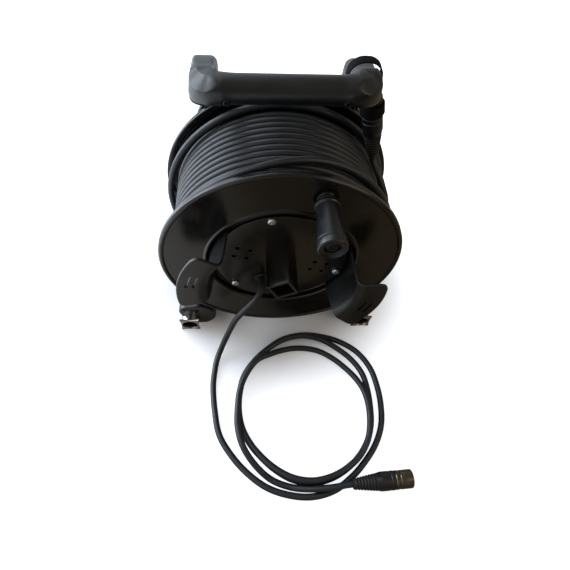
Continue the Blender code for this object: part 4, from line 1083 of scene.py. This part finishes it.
def screws():
    """Three screws through the hub panel, and three behind them through the rear flange."""
    panel_face, rear_face = 2.7, DRUM_WIDTH - 6.0
    for number, angle in enumerate((100.4, 220.4, 340.4), 1):
        place = polar(61.5, angle)
        pan_screw(f"panel_screw_turned_{number}", place, panel_face, 1, f"panel_screw_{number}")
        pan_screw(f"rear_screw_turned_{number}", place, rear_face, -1, f"rear_screw_{number}")


def axle_nut():
    """A hexagonal prism whose corners are turned off on both faces, with its bore."""
    corner_r, front, back, bore_r, chamfer = 10.8, 131.0, 138.7, 6.1, 1.0
    prism = rod(on_axis(0, front, 0), on_axis(0, back, 0), corner_r, 6)
    narrow, wide = corner_r * 0.86, corner_r + 0.6
    bounds = [(0, back), (narrow, back), (wide, back - chamfer), (wide, front + chamfer), (narrow, front)]
    bounds = mesh_of(turned_shape([*bounds, (0, front)], steps=64, closed=False))
    mesh = carved(prism, [bounds], "INTERSECT")
    mesh = carved(mesh, [rod(on_axis(0, front - 5, 0), on_axis(0, back + 5, 0), bore_r, 40)])
    piece_of("axle_nut_turned", mesh, ZINC, "frame", ("axle_nut",), 25)


def axle_set():
    """The fixed axle with its nut and washer behind the bearing plate."""
    axle_nut()
    ring = [(12.0, 130.7), (12.0, 128.7), (6.3, 128.7), (6.3, 130.7)]
    turned("axle_washer_pressed", eased(ring, 0.4), ZINC, "frame", ("axle_washer",), steps=64)
    shaft = [
        (0, 141.5),
        (5.2, 141.5),
        (6.0, 140.6),
        (6.0, 123.1),
        (15.0, 123.1),
        (15.0, 114.8),
        (8.0, 114.8),
        (8.0, 14.5),
        (7.4, 13.9),
        (0, 13.9),
    ]
    turned("axle_turned", eased(shaft, 0.4, False), ZINC, "frame", ("axle",), steps=64, closed=False)


def upright_x(height):
    """How far an upright's middle stands from the reel's at a height."""
    share = (height - RAIL_Z) / (UPRIGHT_TOP_Z - RAIL_Z)
    return RAIL_X + (UPRIGHT_TOP_X - RAIL_X) * share


def rounded_corner(before, corner, after, bend, steps):
    """Points round a tube's bend of a radius, where two straight runs would meet."""
    corner = Vector(corner)
    back, on = (Vector(before) - corner).normalized(), (Vector(after) - corner).normalized()
    half = back.angle(on) / 2
    centre = corner + (back + on).normalized() * bend / math.sin(half)
    first = corner + back * bend / math.tan(half) - centre
    last = corner + on * bend / math.tan(half) - centre
    sweep = first.angle(last)
    found = []
    for step in range(steps + 1):
        share = step / steps
        mixed = first * math.sin((1 - share) * sweep) + last * math.sin(share * sweep)
        found.append(centre + mixed / math.sin(sweep))
    return found


def frame_tube(name, side):
    """One tube of the frame: a rail, a bend and a leaning upright."""
    front = (side * RAIL_X, RAIL_FRONT, RAIL_Z)
    corner = (side * RAIL_X, UPRIGHT_DEPTH, RAIL_Z)
    top = (side * UPRIGHT_TOP_X, UPRIGHT_DEPTH, UPRIGHT_TOP_Z)
    points = [Vector(front), *rounded_corner(front, corner, top, TUBE_BEND, 24), Vector(top)]
    line = placed("tube", tube_mesh(points, TUBE_R, 14, caps=False))
    wall = line.modifiers.new("wall", "SOLIDIFY")
    wall.thickness = TUBE_WALL * MM
    wall.offset = -1
    piece_of(f"bent_tube_{name}", evaluated_mesh(line), CHROME, "frame", (f"frame_tube_{name}",))


def rail_end(name, side):
    """The moulded end in a rail's mouth: a square with hollowed sides round a hole with a wide lead-in."""
    half, drawn_in, steps = 11.2, 1.2, 12
    outline = []
    for turn in range(4):
        for step in range(steps):
            share = 2 * step / steps - 1
            outline += turned_by([(half * share, -half + drawn_in * (1 - share * share))], 90 * turn)
    centre = (side * RAIL_X, RAIL_Z)
    outline = [(centre[0] + x, centre[1] + z) for x, z in outline]
    mesh = plate([outline], -5.0, -2.3, 0.5)
    plug = [(8.2, -3.5), (8.2, 7.2), (7.8, 7.7), (0, 7.7), (0, -3.5)]
    plug = mesh_of(turned_shape(plug, (centre[0], centre[1] - AXIS_Z), 48, False))
    mesh = carved(mesh, [plug], "UNION")
    bore = [(0, -8.0), (9.0, -8.0), (9.0, -5.0), (8.4, -3.6), (7.4, -1.0), (7.4, 12.0), (0, 12.0)]
    bore = mesh_of(turned_shape(bore, (centre[0], centre[1] - AXIS_Z), 48, False))
    piece_of(f"rail_end_{name}_moulded", carved(mesh, [bore]), PLATED_END, "frame", (f"rail_end_{name}",))


def foot(name, side, front, back):
    """A moulded foot: a big round lobe on the floor and a smaller one outside it, over the rail."""
    low, high = Vector(FOOT_LOBE), Vector(FOOT_SHOULDER)
    apart = high - low
    slope = math.degrees(math.atan2(apart.y, apart.x))
    spread = math.degrees(math.acos((FOOT_LOBE_R - FOOT_SHOULDER_R) / apart.length))
    outline = arc(low, FOOT_LOBE_R, slope + spread, slope - spread + 360, 60)
    outline += arc(high, FOOT_SHOULDER_R, slope - spread, slope + spread, 24)
    outline = [(side * x, max(FOOT_FLAT, z) - FOOT_FLAT) for x, z in outline]
    mesh = plate([outline], front, back, 1.6)
    start, end = at(side * RAIL_X, front - 5, RAIL_Z), at(side * RAIL_X, back + 5, RAIL_Z)
    mesh = carved(mesh, [rod(start, end, TUBE_R + TUBE_GAP, 64)])
    piece_of(f"foot_{name}_moulded", mesh, GLOSS, "frame", (f"foot_{name}",))


def feet():
    """A front and a rear foot on each rail."""
    for name, side in SIDES:
        foot(f"front_{name}", side, 4.5, 34)
        foot(f"rear_{name}", side, 62, 91.5)


def bearing_plate():
    """The plate between the uprights, its upper and lower edges bowed out round the axle."""
    half_height, bow_r = 17, 31
    clear = TUBE_R / math.cos(math.atan2(RAIL_X - UPRIGHT_TOP_X, UPRIGHT_TOP_Z - RAIL_Z)) + TUBE_GAP
    under, over = AXIS_Z - half_height, AXIS_Z + half_height
    low, high = upright_x(under) - clear, upright_x(over) - clear
    middle = (0, AXIS_Z)
    outline = [(low, under), (high, over), *arc(middle, bow_r, 62, 118, 24)]
    outline += [(-high, over), (-low, under), *arc(middle, bow_r, 242, 298, 24)]
    mesh = plate([outline, circle(middle, 6.3)], 123.4, 128.4, 0.5)
    piece_of("bearing_plate_cut", mesh, COAT, "frame", ("bearing_plate",))


def handle_stations():
    """One side of the handle, socket to middle. Each one is the section's centre, direction, width, height,
    squareness, how far its sides spread downwards and how far its outer upper corner is creased."""
    low, high = 230, 247
    base, brow = (Vector((upright_x(height), UPRIGHT_DEPTH, height)) for height in (low, high))
    up = Vector((upright_x(low + 20) - upright_x(low), 0, 20))
    stations = [
        (base, up, SOCKET_SIDE - 1, SOCKET_SIDE - 1, 2.4, 0.0, 0.0),
        (brow, up, SOCKET_SIDE, SOCKET_SIDE, 2.8, 0.0, 0.0),
        (Vector((69.0, 121.5, 260.0)), Vector((-0.05, -0.45, 0.9)), 24.6, 26.0, 4.6, 0.08, 0.0),
        (Vector((67.2, 104.0, 272.3)), Vector((-0.03, -0.83, 0.55)), 21.6, 21.6, 8.0, 0.2, 0.0),
        (Vector((66.0, 82.0, 282.4)), Vector((0, -0.96, 0.27)), 20.5, 17.0, 9.0, 0.25, 0.0),
    ]
    corner_height, arch = 22.8, 2.4
    corner = (
        (0, 21, 7.0, 0.2, 0.2),
        (30, 24, 5.0, 0.08, 0.9),
        (60, 25, 3.6, 0.0, 0.7),
        (90, 24, 2.4, 0.0, 0.0),
    )
    for turn, width, square, spread, crease in corner:
        angle = math.radians(turn)
        x = ARM_X - CORNER_R + CORNER_R * math.cos(angle)
        y = GRIP_DEPTH + CORNER_R - CORNER_R * math.sin(angle)
        place = Vector((x, y, GRIP_HEIGHT - arch * (1 - math.sin(angle))))
        direction = Vector((-math.sin(angle), -math.cos(angle), 0.15 * math.cos(angle)))
        stations.append((place, direction, width, corner_height, square, spread, crease))
    for x in (38.0, 0.0):
        place = Vector((x, GRIP_DEPTH, GRIP_HEIGHT))
        stations.append((place, Vector((-1, 0, 0)), 2 * GRIP_R, 2 * GRIP_R, 2.0, 0.0, 0.0))
    return stations


def handle_ring(centre, along, width, height, square, spread, crease):
    """Points round the handle's line: an oval at squareness 2 and near a rectangle above 4."""
    along = along.normalized()
    guide = Vector((0, 0, 1)) if abs(along.z) < 0.75 else Vector((0, 1, 0))
    side = along.cross(guide).normalized()
    top = side.cross(along).normalized()
    # The crease is a flat across the outer upper corner, which cuts deeper the stronger it is.
    lean_top, lean_out, uncut, cut = 0.8, 0.6, 12.4, 3.2
    found = []
    for index in range(RING_POINTS):
        angle = 2 * math.pi * (index + 0.5) / RING_POINTS
        cosine, sine = math.cos(angle), math.sin(angle)
        rise = math.copysign(abs(sine) ** (2 / square), sine)
        out = math.copysign(abs(cosine) ** (2 / square), cosine) * (1 - spread * rise) * width / 2
        rise *= height / 2
        over = (lean_top * rise - lean_out * out) - (uncut - cut * crease)
        if over > 0 and crease > 0:
            out, rise = out + lean_out * over, rise - lean_top * over
        found.append(centre + side * out + top * rise)
    return found


def handle():
    """The carrying handle, lofted along one side and mirrored, with a socket for each upright."""
    stations = handle_stations()
    rings = []
    bottom, up = stations[0][0], stations[0][1].normalized()
    side = Vector((0, 1, 0)).cross(up).normalized() * -1
    top = side.cross(up).normalized()
    for depth in (UPRIGHT_TOP_Z + 0.6 - bottom.z, 0.0):
        ring = []
        for index in range(RING_POINTS):
            x, z = polar(TUBE_R + TUBE_GAP, 360 * (index + 0.5) / RING_POINTS)
            ring.append(bottom + up * depth + side * x + top * z)
        rings.append(ring)
    held = held_ends([station[0] for station in stations])
    steps = 10
    for index, (first, last) in enumerate(zip(stations, stations[1:])):
        for step in range(steps):
            t = step / steps
            ease = t * t * (3 - 2 * t)
            along = first[1].normalized().lerp(last[1].normalized(), t)
            sizes = [a + (b - a) * ease for a, b in zip(first[2:], last[2:])]
            rings.append(handle_ring(between(*held[index : index + 4], t), along, *sizes))
    rings.append(handle_ring(*stations[-1]))
    shape = bmesh.new()
    loops = [chain(shape, [at(*point) for point in ring], True) for ring in rings]
    skin(shape, loops)
    bmesh.ops.contextual_create(shape, geom=edges_of(loops[0]))
    bmesh.ops.mirror(shape, geom=shape.verts[:] + shape.edges[:] + shape.faces[:], axis="X", merge_dist=MERGE)
    mesh = mesh_of(shape)
    recesses = []
    floor = GRIP_DEPTH - 8.8
    for _, side in SIDES:
        x = side * GRIP_SCREW_X
        recesses.append(rod(at(x, GRIP_DEPTH - 15, GRIP_SCREW_Z), at(x, floor, GRIP_SCREW_Z), 4.0, 32))
    piece_of("carry_handle_moulded", carved(mesh, recesses), SATIN, "frame", ("carry_handle",), 24)
    for name, side in SIDES:
        centre = (side * GRIP_SCREW_X, GRIP_SCREW_Z - AXIS_Z)
        piece, node = f"grip_screw_{name}_turned", f"grip_screw_{name}"
        pan_screw(piece, centre, floor - 0.1, 1, node, "frame", 3.4, 2.0, 1.0, DARK_STEEL)


def strap_outline(grow):
    """The strap's loop: a round arch over the handle's arm, closed straight below it."""
    left, right, low, high = 51.2 - grow, 78.0 + grow, 269.7 - grow, 298.2 + grow
    corner, small = 12.0 + grow, 1.5 + grow
    outline = arc((right - corner, high - corner), corner, 0, 90, 14)
    outline += arc((left + corner, high - corner), corner, 90, 180, 14)
    outline += arc((left + small, low + small), small, 180, 270, 5)
    outline += arc((right - small, low + small), small, 270, 360, 5)
    return outline


def strap():
    """The strap over the handle's right arm, and the ring below it that holds the hanging connector."""
    front, back, thickness, gap = 76.6, 85.9, 1.2, 0.1
    mesh = plate([strap_outline(gap + thickness), strap_outline(gap)], front, back, 0.4)
    along = Vector((-TAIL_UP.x, -TAIL_UP.z)).normalized()
    inward = Vector((along.y, -along.x))
    neck = []
    inside, outside = 9.9, 11.1
    for run, out in ((-5.4, inside), (14, inside), (14, outside), (-5.4, outside)):
        neck.append(Vector((TAIL_TOP.x, TAIL_TOP.z)) + along * run + inward * out)
    band = [(outside, -16.4), (outside, -6.6), (inside - 0.05, -6.6), (inside - 0.05, -16.4)]
    ring = turned_along(eased(band, 0.4), TAIL_TOP, TAIL_UP, 64)
    mesh = carved(mesh, [plate([neck], 80.3, 85.7, 0.3), ring], "UNION")
    piece_of("tail_strap_woven", mesh, STRAP, "frame", ("tail_strap",))


def carried_over():
    """The CAD nodes that stay get their real finish."""
    finishes = {
        "drum_core": SATIN,
        "bush_front": BRONZE,
        "bush_rear": BRONZE,
        "thrust_washer": ZINC,
        "retaining_washer": ZINC,
        "axle_bolt": ZINC,
        "crank_nut": ZINC,
    }
    for node, finish in finishes.items():
        dress(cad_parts[node], finish)


camera()
studio()
plug_nodes = ("lead_plug_boot", "lead_plug_body", "lead_plug_shell")
lead(connector("lead_plug", PLUG_START, PLUG_ALONG, plug_nodes))
tail()
tail_nodes = ("tail_connector_boot", "tail_connector_body", "tail_connector_shell")
connector("tail_plug", TAIL_BOTTOM, TAIL_UP, tail_nodes, DARK_SHELL)
winding()
inner_layer()
inner_run()
front_flange()
rear_flange()
hub_panel()
grommet()
hook("left", 165)
hook("right", 345)
crank()
screws()
axle_set()
for tube_name, tube_side in SIDES:
    frame_tube(tube_name, tube_side)
    rail_end(tube_name, tube_side)
feet()
bearing_plate()
handle()
strap()
carried_over()
